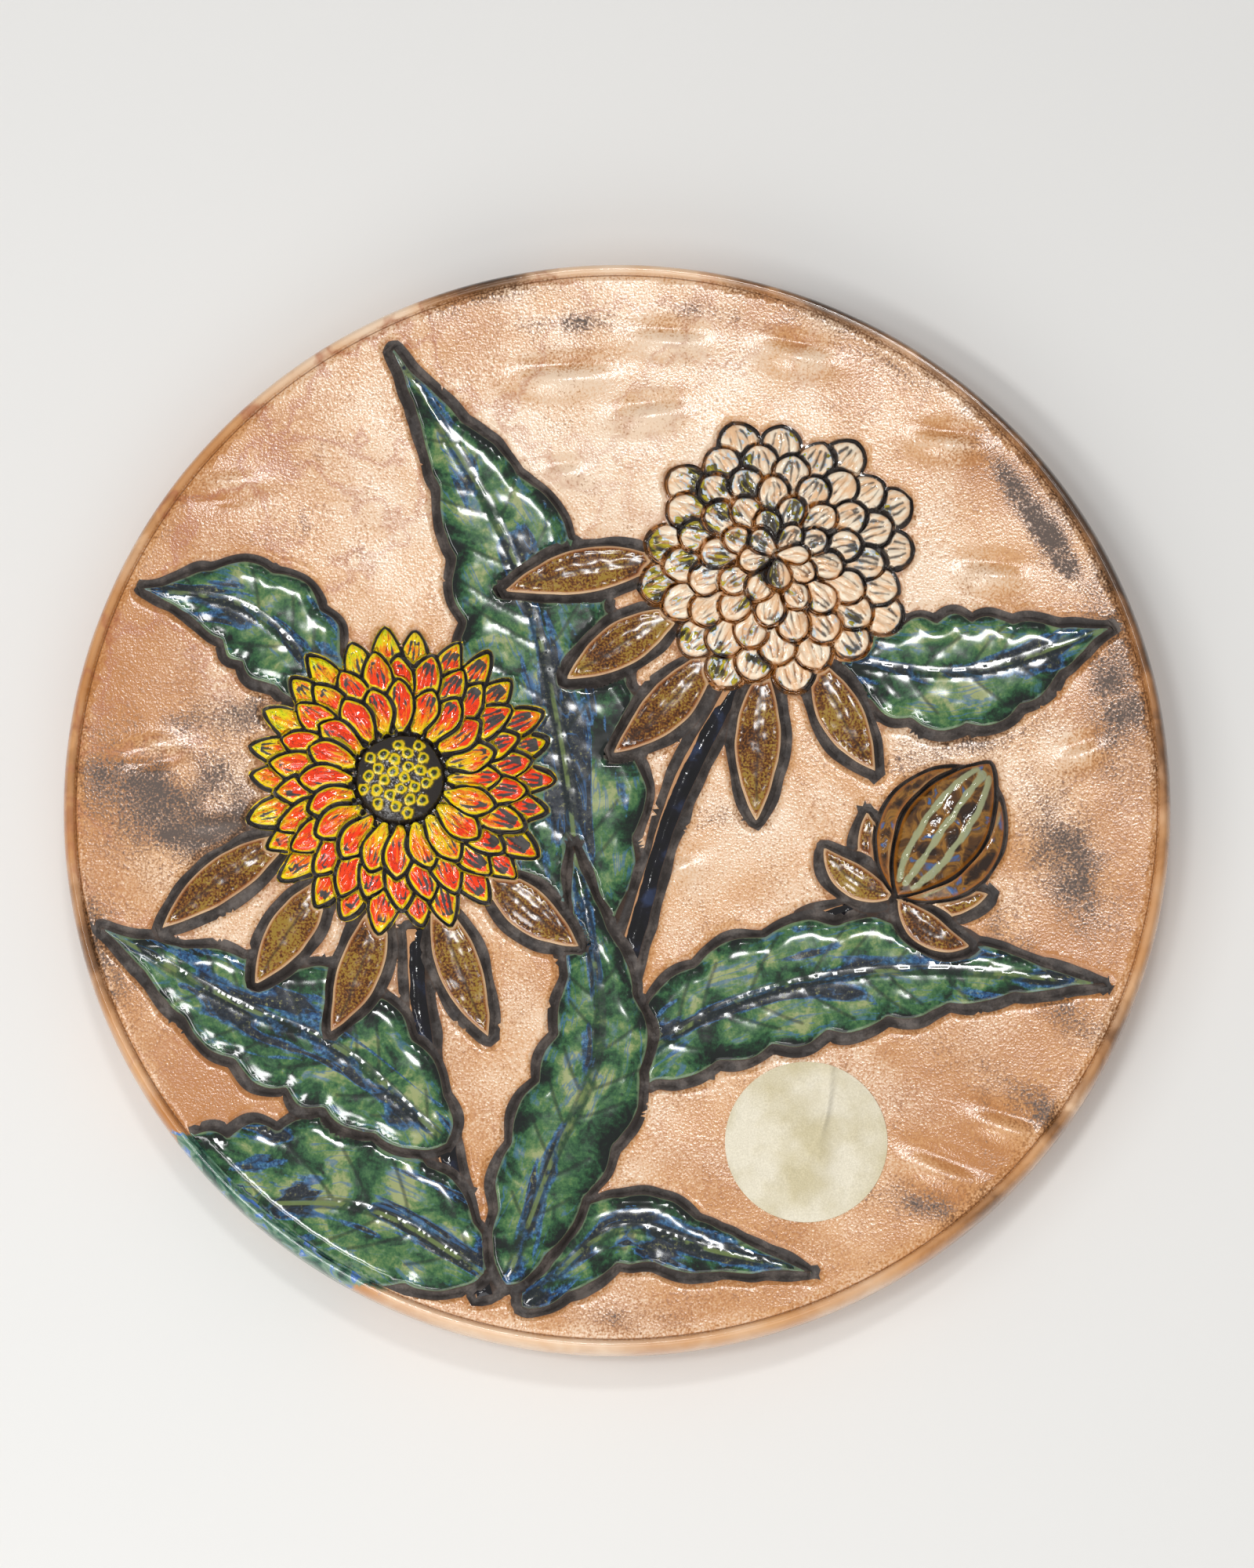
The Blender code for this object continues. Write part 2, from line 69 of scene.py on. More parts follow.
# Pattern distance, in millimetres, where no edge or line is near
FAR = 9.0
GOLDEN_ANGLE = math.pi * (3 - math.sqrt(5))

# Turned body, as in the solids
PLATE_RADIUS = (PLATE_BOX[1].x - PLATE_BOX[0].x) / 2
RIM_WIDTH = 3.7 * MM
LINE_WIDTH = 0.8 * MM
BODY_THICKNESS = 8.2 * MM
DISH_DEPTH = 4.0 * MM
FOOT_HEIGHT = 7.8 * MM
FOOT_OUTER_RADIUS = 93 * MM
FOOT_WIDTH = 7.5 * MM
FIELD_RADIUS = PLATE_RADIUS - RIM_WIDTH
FACE_RADIUS = FIELD_RADIUS - LINE_WIDTH / 2
FOOT_MIDDLE_RADIUS = FOOT_OUTER_RADIUS - FOOT_WIDTH / 2

# Foil sticker, as in the solids
STICKER_RADIUS = (STICKER_BOX[1].x - STICKER_BOX[0].x) / 2
STICKER_MIDDLE = np.array([(STICKER_BOX[0].x + STICKER_BOX[1].x) / 2,
                           (STICKER_BOX[0].z + STICKER_BOX[1].z) / 2 + FOOT_MIDDLE_RADIUS])
STICKER_MARGIN = 1.5 * MM


class Zone(Enum):
    """Which finish a patch of the plate carries; the value is its material's place in the list."""

    GROUND = 0
    CLAY = 1
    LEAF = 2
    STEM = 3
    RAYED = 4
    SEED = 5
    SCALED = 6
    SEPAL = 7
    BUD = 8
    BACK = 9
    FOOT = 10


# Distance between mesh points on each carved surface
SPACING = {
    Zone.GROUND: 1.55 * MM,
    Zone.CLAY: 1.10 * MM,
    Zone.LEAF: 0.86 * MM,
    Zone.STEM: 0.90 * MM,
    Zone.RAYED: 0.60 * MM,
    Zone.SEED: 0.56 * MM,
    Zone.SCALED: 0.62 * MM,
    Zone.SEPAL: 0.80 * MM,
    Zone.BUD: 0.80 * MM,
}


def field_height(radius: Array | float) -> Array | float:
    """Height of the plain ground above the wall: a shallow dish."""
    return FOOT_HEIGHT + BODY_THICKNESS + DISH_DEPTH * (radius / FIELD_RADIUS) ** 2


def length_of(vectors: Array) -> Array:
    """Length of each row of flat vectors."""
    return np.hypot(vectors[:, 0], vectors[:, 1])


def heading(angle: float) -> Array:
    """Unit step in a direction."""
    return np.array([math.cos(angle), math.sin(angle)])


def place(share: Pair) -> Array:
    """A point of the layout in metres."""
    return np.array(share, float) * FIELD_RADIUS


def resample(path: Array, spacing: float = 0.0, count: int = 0) -> Array:
    """Points evenly spaced along a path.

    Args:
        path: Corner points of the path.
        spacing: Wanted distance between points.
        count: How many points, in place of a spacing.

    Returns:
        The new points, both ends among them.
    """
    run = np.concatenate([[0], np.cumsum(length_of(np.diff(path, axis=0)))])
    stations = np.linspace(0, run[-1], count or max(int(round(run[-1] / spacing)), 1) + 1)
    return np.column_stack([np.interp(stations, run, path[:, axis]) for axis in (0, 1)])


def curve_through(shares: list[Pair], count: int) -> Array:
    """A smooth path through a few layout points.

    Args:
        shares: Points of the layout.
        count: How many points to return.

    Returns:
        Evenly spaced points in metres.
    """
    knots = np.array([place(share) for share in shares])
    knots = np.vstack([2 * knots[0] - knots[1], knots, 2 * knots[-1] - knots[-2]])
    share = np.linspace(0, 1, 24, endpoint=False)[:, None]
    spans = []
    for before, start, end, after in zip(knots[:-3], knots[1:-2], knots[2:-1], knots[3:]):
        slope = (end - before) * share
        curve = (2 * before - 5 * start + 4 * end - after) * share ** 2
        twist = (3 * start - before - 3 * end + after) * share ** 3
        spans.append(start + 0.5 * (slope + curve + twist))
    return resample(np.vstack(spans + [knots[-2:-1]]), count=count)


def sideways(path: Array) -> Array:
    """Unit steps to the left of a path at each of its points.

    Args:
        path: The path's points.

    Returns:
        One step in each row.
    """
    along = np.gradient(path, axis=0)
    along /= np.maximum(length_of(along), 1e-12)[:, None]
    return np.column_stack([-along[:, 1], along[:, 0]])


def closed(outline: Array) -> Array:
    """An outline with its first point again at its end."""
    return np.vstack([outline, outline[:1]])


def moved_out(outline: Array, distance: Array) -> Array:
    """A closed outline moved outwards by its own distance at each point."""
    loop = np.vstack([outline[-1:], outline, outline[:1]])
    return outline - sideways(loop)[1:-1] * distance[:, None]


def strip(spine: Array, left: Array, right: Array) -> Array:
    """Closed outline, counter-clockwise, at the given half widths on both sides of a path."""
    side = sideways(spine)
    return np.vstack([spine - side * right[:, None], (spine + side * left[:, None])[::-1]])


def swelling(share: Array, widest: float) -> Array:
    """A width that starts and ends at nothing and is largest at the share named widest."""
    return np.sin(np.pi * np.clip(share, 0, 1) ** (math.log(0.5) / math.log(widest)))


def follow(points: Array, path: Array) -> tuple[Array, Array]:
    """Coordinates of points along and across an open path.

    Args:
        points: Flat points.
        path: The path's points.

    Returns:
        Length along the path, and offset to its left.
    """
    best = np.full(len(points), np.inf)
    along = np.zeros(len(points))
    across = np.zeros(len(points))
    run = 0.0
    for start, end in zip(path[:-1], path[1:]):
        edge = end - start
        size = math.hypot(*edge)
        gap = points - start
        share = np.clip(gap @ edge / max(size * size, TOUCH ** 2), 0, 1)
        square = ((gap - share[:, None] * edge) ** 2).sum(axis=1)
        nearer = square < best
        best = np.where(nearer, square, best)
        along = np.where(nearer, run + share * size, along)
        side = np.sign(edge[0] * gap[:, 1] - edge[1] * gap[:, 0])
        across = np.where(nearer, side * np.sqrt(square), across)
        run += size
    return along, across


def path_distance(points: Array, path: Array) -> Array:
    """Distance from points to an open path.

    Args:
        points: Flat points.
        path: The path's points.

    Returns:
        Each point's distance.
    """
    best = np.full(len(points), np.inf)
    x, y = points[:, 0], points[:, 1]
    for (start_x, start_y), (end_x, end_y) in zip(path[:-1], path[1:]):
        edge_x, edge_y = end_x - start_x, end_y - start_y
        size = max(edge_x * edge_x + edge_y * edge_y, TOUCH ** 2 / 100)
        gap_x, gap_y = x - start_x, y - start_y
        share = np.clip((gap_x * edge_x + gap_y * edge_y) / size, 0, 1)
        np.minimum(best, (gap_x - share * edge_x) ** 2 + (gap_y - share * edge_y) ** 2, out=best)
    return np.sqrt(best)


def signed_distance(points: Array, outline: Array) -> Array:
    """Distance from points to a closed outline, positive inside it.

    Args:
        points: Flat points.
        outline: The outline's points, counter-clockwise.

    Returns:
        Each point's distance.
    """
    nearest = path_distance(points, closed(outline))
    inside = np.zeros(len(points), bool)
    x, y = points[:, 0], points[:, 1]
    for start, end in zip(outline, np.roll(outline, -1, axis=0)):
        if start[1] != end[1]:
            spans = (start[1] > y) != (end[1] > y)
            slope = (end[0] - start[0]) / (end[1] - start[1])
            inside ^= spans & (x < start[0] + slope * (y - start[1]))
    return np.where(inside, nearest, -nearest)


def near_box(points: Array, outline: Array, reach: float) -> Array:
    """Numbers of the points within reach of an outline's bounding box."""
    low, high = outline.min(axis=0) - reach, outline.max(axis=0) + reach
    return np.flatnonzero(np.all((points > low) & (points < high), axis=1))


def places_of(mesh: Mesh) -> Array:
    """A mesh's points, one in each row."""
    spots = np.empty(len(mesh.vertices) * 3, np.float32)
    mesh.vertices.foreach_get("co", spots)
    return spots.reshape(-1, 3)


def store(mesh: Mesh, name: str, values: Array) -> None:
    """Keep one number for each point of a mesh, for its finishes to read."""
    layer = mesh.attributes.new(name, "FLOAT", "POINT")
    layer.data.foreach_set("value", values.astype(np.float32))


def turn_outwards(weld: bool = False) -> None:
    """Turn the active piece's faces outwards.

    Args:
        weld: Whether to merge the points that meet first.
    """
    bpy.ops.object.mode_set(mode="EDIT")
    bpy.ops.mesh.select_all(action="SELECT")
    if weld:
        bpy.ops.mesh.remove_doubles(threshold=TOUCH)
    bpy.ops.mesh.normals_make_consistent(inside=False)
    bpy.ops.object.mode_set(mode="OBJECT")


class Drift:
    """A smooth random field over the flat layout, from -1 to 1 and the same on each run."""

    def __init__(self, cell: float, seed: int) -> None:
        """Set up the field.

        Args:
            cell: Size of its lumps in metres.
            seed: Number of the field.
        """
        self.cell = cell
        self.reach = PLATE_RADIUS + 2 * cell
        count = int(2 * self.reach / cell) + 3
        self.lattice = np.random.default_rng(seed).uniform(-1, 1, (count, count))

    def at(self, points: Array) -> Array:
        """The field's value at each point.

        Args:
            points: Flat points.

        Returns:
            Values from -1 to 1.
        """
        spot = (np.clip(points, -PLATE_RADIUS, PLATE_RADIUS) + self.reach) / self.cell
        low = np.floor(spot).astype(int)
        share = spot - low
        ease = share * share * (3 - 2 * share)
        column, row = low[:, 0], low[:, 1]
        near, far = (
            self.lattice[line, column] * (1 - ease[:, 0]) + self.lattice[line, column + 1] * ease[:, 0]
            for line in (row, row + 1))
        return near * (1 - ease[:, 1]) + far * ease[:, 1]


@dataclass(frozen=True)
class Bloom:
    """The low dome that a flower's petals are carved on."""

    middle: Array
    reach: float
    rise: float

    def height(self, points: Array) -> Array:
        """Height of the dome over the ground."""
        return self.rise * np.clip(1 - self.share(points) ** 2, 0, 1)

    def share(self, points: Array) -> Array:
        """Distance from the middle as a share of the bloom's reach."""
        return length_of(points - self.middle) / self.reach


@dataclass(frozen=True)
class Line:
    """A line drawn in a figure's surface: cut in where depth is positive, raised where negative."""

    path: Array
    depth: float
    half_width: float


@dataclass
class Figure:
    """One carved and glazed shape of the picture, with the groove cut round it."""

    zone: Zone
    outline: Array
    spine: Array
    groove: float
    depth: float
    step: float
    crown: float
    shoulder: float
    tint: float
    bead: float = 0.0
    lines: list[Line] = field(default_factory=list)
    bloom: Bloom | None = None
    seeds: Array | None = None

    def base(self, points: Array) -> Array:
        """Height of the swelling that the figure is carved on."""
        if self.bloom is None:
            return np.zeros(len(points))
        return self.bloom.height(points)

    def crease_gap(self, points: Array) -> Array:
        """Distance to the nearest drawn line, or to the nearest seed's middle.

        Args:
            points: Flat points.

        Returns:
            Each point's distance.
        """
        gap = np.full(len(points), FAR * MM)
        for line in self.lines:
            near = near_box(points, line.path, 3 * MM)
            gap[near] = np.minimum(gap[near], path_distance(points[near], line.path))
        if self.seeds is not None:
            for seed in self.seeds:
                gap = np.minimum(gap, length_of(points - seed))
        return gap

    def surface(self, points: Array, distance: Array) -> Array:
        """Height inside the outline.

        Args:
            points: Points inside the outline.
            distance: Their distance from it.

        Returns:
            Height over the ground: rounded up from the edge, with the thick lip that glaze
            leaves there and the lines drawn in it.
        """
        rise = 1 - (1 - np.clip(distance / self.shoulder, 0, 1)) ** 2
        height = self.base(points) + self.step + self.crown * rise
        height += self.bead * np.exp(-((distance - 0.7 * MM) / (0.5 * MM)) ** 2)
        inner = np.clip(distance / (1.2 * MM), 0, 1)
        for line in self.lines:
            near = near_box(points, line.path, 3 * line.half_width)
            gap = path_distance(points[near], line.path)
            height[near] -= line.depth * inner[near] * np.exp(-(gap / line.half_width) ** 2)
        if self.seeds is not None:
            gap = self.crease_gap(points)
            height += 0.75 * MM * np.clip(1 - (gap / (1.5 * MM)) ** 2, 0, 1) - 0.3 * MM
        return height


@dataclass(frozen=True)
class Picture:
    """The carved picture: two blooms, a bud, stems and leaves, in the layout of the solids.

    Sizes that are shares of the field's radius place and size the motifs. The others are the
    depths and widths of the carver's tools.
    """

    groove: float = 2.6 * MM
    groove_depth: float = 1.1 * MM
    petal_groove: float = 1.2 * MM
    petal_groove_depth: float = 0.9 * MM
    edge_step: float = 0.5 * MM
    stem_width: float = 4.6 * MM
    outline_step: float = 0.7 * MM
    petal_step: float = 0.5 * MM
    rayed_rise: float = 2.9 * MM
    scaled_rise: float = 3.2 * MM
    orange: Pair = (-0.40, 0.04)
    cream: Pair = (0.30, 0.46)
    bud_base: Pair = (0.52, -0.18)
    edge_drift: Drift = Drift(4 * MM, 11)
    crease_drift: Drift = Drift(2.5 * MM, 12)

    def wander(self, outline: Array, size: float) -> Array:
        """The outline with the small wobble of a hand-held tool."""
        return moved_out(outline, size * self.edge_drift.at(outline))

    def leaf(self, shares: list[Pair], half_width: float, scallops: int, tint: float) -> Figure:
        """A pointed leaf with a scalloped margin, a midrib between two cut lines, and side veins.

        Args:
            shares: Layout points of its midrib, from the root.
            half_width: Largest half width, as a share of the field's radius.
            scallops: Number of waves along each margin.
            tint: The leaf's own number, which varies its glaze.

        Returns:
            The figure.
        """
        count = 150
        spine = curve_through(shares, count)
        along = np.linspace(0, 1, count)
        body = half_width * FIELD_RADIUS * swelling(along, 0.40) ** (0.75 + 0.6 * along)
        left = body * (0.90 + 0.16 * np.abs(np.sin(np.pi * scallops * along)))
        right = body * (0.90 + 0.16 * np.abs(np.sin(np.pi * scallops * along + 1.2)))
        side = sideways(spine)
        trunk = slice(4, int(count * 0.93))
        rib_offset = 1.15 * MM
        lines = [Line(spine[trunk], -0.09 * MM, 0.8 * MM)]
        for turn in (-1, 1):
            path = spine[trunk] + turn * rib_offset * side[trunk]
            lines.append(Line(resample(path, 2 * MM), 0.07 * MM, 0.9 * MM))
        run = length_of(np.diff(spine, axis=0)).sum()
        veins = int(run / (12 * MM))
        for number in range(veins):
            for turn, half in ((-1, right), (1, left)):
                share = (number + 0.6 + 0.25 * math.sin(2.1 * number + turn + 9 * tint)) / veins
                start = int(share * (count - 1))
                reach = 0.80 * half[start]
                if start < count * 0.86 and reach > 4 * MM:
                    forward = np.array([side[start][1], -side[start][0]])
                    steps = np.linspace(1.6 * MM, reach, 7)
                    ahead = 0.75 * steps + 0.25 * steps ** 2 / reach
                    path = spine[start] + turn * np.outer(steps, side[start]) + np.outer(ahead, forward)
                    lines.append(Line(path, 0.05 * MM, 0.9 * MM))
        outline = self.wander(resample(strip(spine, left, right), self.outline_step), 0.3 * MM)
        return Figure(Zone.LEAF, outline, spine[::6], self.groove, self.groove_depth, self.edge_step,
                      crown=0.9 * MM, shoulder=5 * MM, tint=tint, bead=0.22 * MM, lines=lines)

    def stem(self, shares: list[Pair], tint: float) -> Figure:
        """A low round stalk.

        Args:
            shares: Layout points of its middle, from the root.
            tint: The stalk's own number, which varies its width.

        Returns:
            The figure.
        """
        spine = curve_through(shares, 60)
        half = self.stem_width / 2 * (1 + 0.10 * np.sin(np.linspace(0, 23, 60) + 5 * tint))
        outline = self.wander(strip(spine, half, half), 0.2 * MM)
        return Figure(Zone.STEM, outline, spine[::4], self.groove, self.groove_depth, 0.0, crown=0.8 * MM,
                      shoulder=self.stem_width / 2, tint=tint)

    def blade(self, root: Array, angle: float, length: float, half_width: float, widest: float,
              fullness: float, bend: float) -> tuple[Array, Array]:
        """Outline and spine of a petal or sepal.

        Args:
            root: Where it starts.
            angle: Direction at the root.
            length: Its length.
            half_width: Its largest half width.
            widest: Share of the length at which it is widest.
            fullness: Power of the width, blunter where smaller.
            bend: Turn on its way.

        Returns:
            The closed outline, and the spine.
        """
        count = 25
        along = np.linspace(0, 1, count)
        turns = angle + bend * along[:-1]
        steps = np.column_stack([np.cos(turns), np.sin(turns)]) * length / (count - 1)
        spine = root + np.vstack([[0, 0], np.cumsum(steps, axis=0)])
        half = half_width * swelling(along, widest) ** fullness
        return strip(spine, half, half), spine

    def side_lines(self, spine: Array, offsets: tuple[float, ...], depth: float, half_width: float,
                   start: float = 0.12, end: float = 0.9) -> list[Line]:
        """Lines that run beside a spine, drawn together towards both of its ends.

        Args:
            spine: Points of the spine.
            offsets: Each line's distance to the left of it.
            depth: Depth of the cut, a rib where negative.
            half_width: Half width of the cut.
            start: Share of the spine at which they start.
            end: Share at which they end.

        Returns:
            One line for each offset.
        """
        share = np.linspace(0, 1, len(spine))
        kept = (share >= start) & (share <= end)
        body = np.sin(np.pi * np.clip(share, 0.04, 0.96)) ** 0.6
        side = sideways(spine)
        lines = []
        for offset in offsets:
            path = (spine + side * (offset * body)[:, None])[kept]
            path += side[kept] * (0.35 * MM * self.crease_drift.at(path))[:, None]
            lines.append(Line(path[::2], depth, half_width))
        return lines

    def sepal(self, root: Array, angle: float, length: float, half_width: float, bend: float,
              tint: float) -> Figure:
        """One brown sepal with a raised margin and a fold along its middle.

        Args:
            root: Where it starts.
            angle: Direction at the root.
            length: Its length.
            half_width: Its largest half width.
            bend: Turn on its way.
            tint: The sepal's own number, which varies its glaze.

        Returns:
            The figure.
        """
        outline, spine = self.blade(root, angle, length, half_width, 0.5, 0.9, bend)
        lines = self.side_lines(spine, (0.0,), 0.16 * MM, 0.9 * MM)
        outline = self.wander(resample(outline, self.outline_step), 0.18 * MM)
        return Figure(Zone.SEPAL, outline, spine[::3], self.groove, self.groove_depth, self.edge_step,
                      crown=0.8 * MM, shoulder=half_width, tint=tint, bead=0.32 * MM, lines=lines)

    def calyx(self, centre: Pair, start: float, length: float, half_width: float, first: float, last: float,
              count: int, bend: float) -> list[Figure]:
        """A fan of sepals that hang below a bloom, between two directions in degrees.

        Args:
            centre: The bloom's place in the layout.
            start: Where they start, as a share of the field's radius.
            length: Their length as such a share.
            half_width: Their half width as such a share.
            first: Direction of the first sepal.
            last: Direction of the last.
            count: Number of sepals.
            bend: Largest turn of a sepal on its way.

        Returns:
            The sepals.
        """
        figures = []
        for number, degrees in enumerate(np.linspace(first, last, count)):
            angle = math.radians(degrees)
            root = place(centre) + heading(angle) * start * FIELD_RADIUS
            reach = length * FIELD_RADIUS * (1 + 0.12 * math.cos(2.4 * number))
            turn = bend * math.sin(1.9 * number + 1)
            tint = 0.37 * number + centre[0]
            figures.append(self.sepal(root, angle, reach, half_width * FIELD_RADIUS, turn, tint % 1))
        return figures

    def petal(self, zone: Zone, root: Array, angle: float, length: float, half_width: float, shape: Pair,
              bend: float, bloom: Bloom, tint: float) -> Figure:
        """One petal of a bloom, with creases along it.

        Args:
            zone: Its finish.
            root: Where it starts.
            angle: Direction at the root.
            length: Its length.
            half_width: Its largest half width.
            shape: Share at which it is widest, and the power of its width.
            bend: Turn on its way.
            bloom: The dome it lies on.
            tint: The petal's own number, which varies its glaze.

        Returns:
            The figure.
        """
        outline, spine = self.blade(root, angle, length, half_width, shape[0], shape[1], bend)
        outline = self.wander(resample(outline, self.petal_step), 0.28 * MM)
        inner = 0.48 * half_width
        offsets = (-inner, 0.0, inner) if half_width > 2.4 * MM else (0.0,)
        lines = self.side_lines(spine, offsets, 0.42 * MM, 0.42 * MM)
        return Figure(zone, outline, spine[::3], self.petal_groove, self.petal_groove_depth,
                      self.edge_step / 2, crown=0.7 * MM, shoulder=2 * MM, tint=tint, bead=0.10 * MM,
                      lines=lines, bloom=bloom)

    def rayed_bloom(self, centre: Pair, radius: float, rings: list[tuple[int, float, float, float]],
                    seed_share: float) -> list[Figure]:
        """Rings of narrow petals round a domed seed disc.

        Args:
            centre: Its place in the layout.
            radius: Its reach as a share of the field's radius.
            rings: Petal count, start, end and half width of each ring, as shares of the reach.
            seed_share: Radius of the seed disc, as a share of the reach.

        Returns:
            The petals from the outer ring inwards, then the disc.
        """
        middle = place(centre)
        reach = radius * FIELD_RADIUS
        bloom = Bloom(middle, reach, self.rayed_rise)
        figures = []
        for number, (count, start, end, half_width) in enumerate(rings):
            for step in range(count):
                angle = 2 * math.pi * (step + 0.5 * (number % 2)) / count
                length = reach * (end - start) * (0.98 + 0.05 * math.sin(3.7 * step + number))
                root = middle + heading(angle) * reach * start
                bend = 0.12 * math.sin(2.3 * step + number)
                tint = (0.618 * step + 0.31 * number) % 1
                figures.append(self.petal(Zone.RAYED, root, angle, length, reach * half_width, (0.6, 0.8),
                                          bend, bloom, tint))
        turns = np.linspace(0, 2 * math.pi, 60, endpoint=False)
        circle = reach * seed_share * np.column_stack([np.cos(turns), np.sin(turns)])
        numbers = np.arange(26)
        spiral = numbers * GOLDEN_ANGLE
        out = (reach * seed_share - 1.2 * MM) * np.sqrt((numbers + 0.4) / len(numbers))
        seeds = middle + np.column_stack([out * np.cos(spiral), out * np.sin(spiral)])
        outline = self.wander(middle + circle, 0.25 * MM)
        figures.append(Figure(Zone.SEED, outline, middle + np.array([[0, 0], [MM, 0]]), self.petal_groove,
                              self.petal_groove_depth, self.edge_step, crown=1.2 * MM, shoulder=6 * MM,
                              tint=0.5, bloom=bloom, seeds=seeds))
        return figures

    def scaled_bloom(self, centre: Pair, radius: float, count: int) -> list[Figure]:
        """Short petals that overlap like scales along a golden spiral, the inner ones in front.

        Args:
            centre: The bloom's place in the layout.
            radius: Its reach as a share of the field's radius.
            count: Number of petals.

        Returns:
            The petals from the outer ones inwards.
        """
        middle = place(centre)
        reach = radius * FIELD_RADIUS
        bloom = Bloom(middle, reach, self.scaled_rise)
        figures = []
        for number in reversed(range(count)):
            share = math.sqrt((number + 0.5) / count)
            angle = number * GOLDEN_ANGLE
            length = reach * (0.20 + 0.20 * share)
            root = middle + heading(angle) * max(reach * share - length, 0)
            half_width = reach * (0.055 + 0.075 * share)
            figures.append(self.petal(Zone.SCALED, root, angle, length, half_width, (0.66, 0.6), 0.0, bloom,
                                      0.618 * number % 1))
        return figures

    def bud(self, base: Pair, degrees: float, length: float, half_width: float) -> list[Figure]:
        """A closed bud of three ribbed petals over four short sepals.

        Args:
            base: Where it starts in the layout.
            degrees: The way it points.
            length: Its length as a share of the field's radius.
            half_width: Half width of a petal as such a share.

        Returns:
            The sepals, then the petals.
        """
        root = place(base)
        angle = math.radians(degrees)
        figures = []
        for turn in (1.25, -1.25, 2.1, -2.1):
            figures.append(self.sepal(root, angle + turn, 0.17 * FIELD_RADIUS, 0.030 * FIELD_RADIUS,
                                      -0.5 * turn, 0.5 + 0.2 * turn))
        for turn, reach in ((0.42, 0.9), (-0.42, 0.9), (0.0, 1.0)):
            half = half_width * FIELD_RADIUS
            outline, spine = self.blade(root, angle + turn, length * reach * FIELD_RADIUS, half, 0.5, 0.8,
                                        -1.4 * turn)
            outline = self.wander(resample(outline, self.outline_step), 0.2 * MM)
            ribs = self.side_lines(spine, (-0.5 * half, 0.0, 0.5 * half), -0.45 * MM, 0.7 * MM, 0.05, 0.95)
            figures.append(Figure(Zone.BUD, outline, spine[::3], self.petal_groove, self.groove_depth,
                                  self.edge_step, crown=2.3 * MM, shoulder=8 * MM, tint=0.5 + turn,
                                  lines=ribs))
        return figures

    def figures(self) -> list[Figure]:
        """Every carved figure, from the back of the picture to its front."""
        rings = [(26, 0.42, 1.00, 0.088), (26, 0.36, 0.84, 0.088), (20, 0.28, 0.64, 0.085)]
        return [
            self.leaf([(-0.06, -0.30), (-0.10, 0.10), (-0.20, 0.48), (-0.42, 0.86)], 0.150, 9, 0.10),
            self.leaf([(-0.52, 0.20), (-0.68, 0.36), (-0.88, 0.40)], 0.095, 5, 0.26),
            self.leaf([(0.42, 0.26), (0.66, 0.24), (0.92, 0.32)], 0.105, 6, 0.40),
            self.stem([(-0.17, -0.90), (-0.07, -0.62), (0.02, -0.30), (0.11, 0.00), (0.22, 0.22)], 0.2),
            self.stem([(-0.07, -0.62), (0.06, -0.42), (0.26, -0.28), (0.50, -0.18)], 0.5),
            self.stem([(-0.24, -0.92), (-0.31, -0.66), (-0.36, -0.42), (-0.37, -0.24)], 0.8),
            self.leaf([(-0.02, -0.52), (0.24, -0.37), (0.54, -0.32), (0.90, -0.35)], 0.108, 8, 0.55),
            self.leaf([(-0.24, -0.88), (-0.46, -0.76), (-0.76, -0.74), (-1.08, -0.60)], 0.150, 8, 0.67),
            self.leaf([(-0.31, -0.64), (-0.50, -0.47), (-0.70, -0.38), (-0.95, -0.24)], 0.120, 7, 0.79),
            self.leaf([(-0.17, -0.94), (0.00, -0.80), (0.18, -0.84), (0.36, -0.88)], 0.062, 5, 0.88),
            self.leaf([(-0.20, -0.90), (-0.12, -0.68), (-0.03, -0.44), (-0.08, -0.08)], 0.095, 7, 0.95),
            *self.calyx(self.orange, 0.22, 0.27, 0.040, -152, -47, 5, 0.35),
            *self.calyx(self.cream, 0.20, 0.28, 0.042, -178, -70, 5, 0.35),
            *self.rayed_bloom(self.orange, 0.285, rings, 0.28),
            *self.scaled_bloom(self.cream, 0.270, 64),
            *self.bud(self.bud_base, 55, 0.30, 0.075),
        ]


@dataclass(frozen=True)
class Blot:
    """A soft oval mark in the ground, placed by its middle in shares of the field's radius."""

    x: float
    y: float
    length: float
    width: float
    turn: float
    strength: float = 1.0

    def weight(self, points: Array) -> Array:
        """How much of the mark each point gets, 1 in its middle.

        Args:
            points: Flat points.

        Returns:
            The share at each point.
        """
        turn = math.radians(self.turn)
        gap = points - place((self.x, self.y))
        along = gap @ heading(turn) / (self.length / 2)
        across = gap @ heading(turn + math.pi / 2) / (self.width / 2)
        return self.strength * np.exp(-(along ** 2 + across ** 2))


def blots(*rows: tuple[float, ...]) -> tuple[Blot, ...]:
    """Blots from rows of place, length and width in millimetres, turn in degrees and strength."""
    return tuple(Blot(x, y, length * MM, width * MM, *rest) for x, y, length, width, *rest in rows)


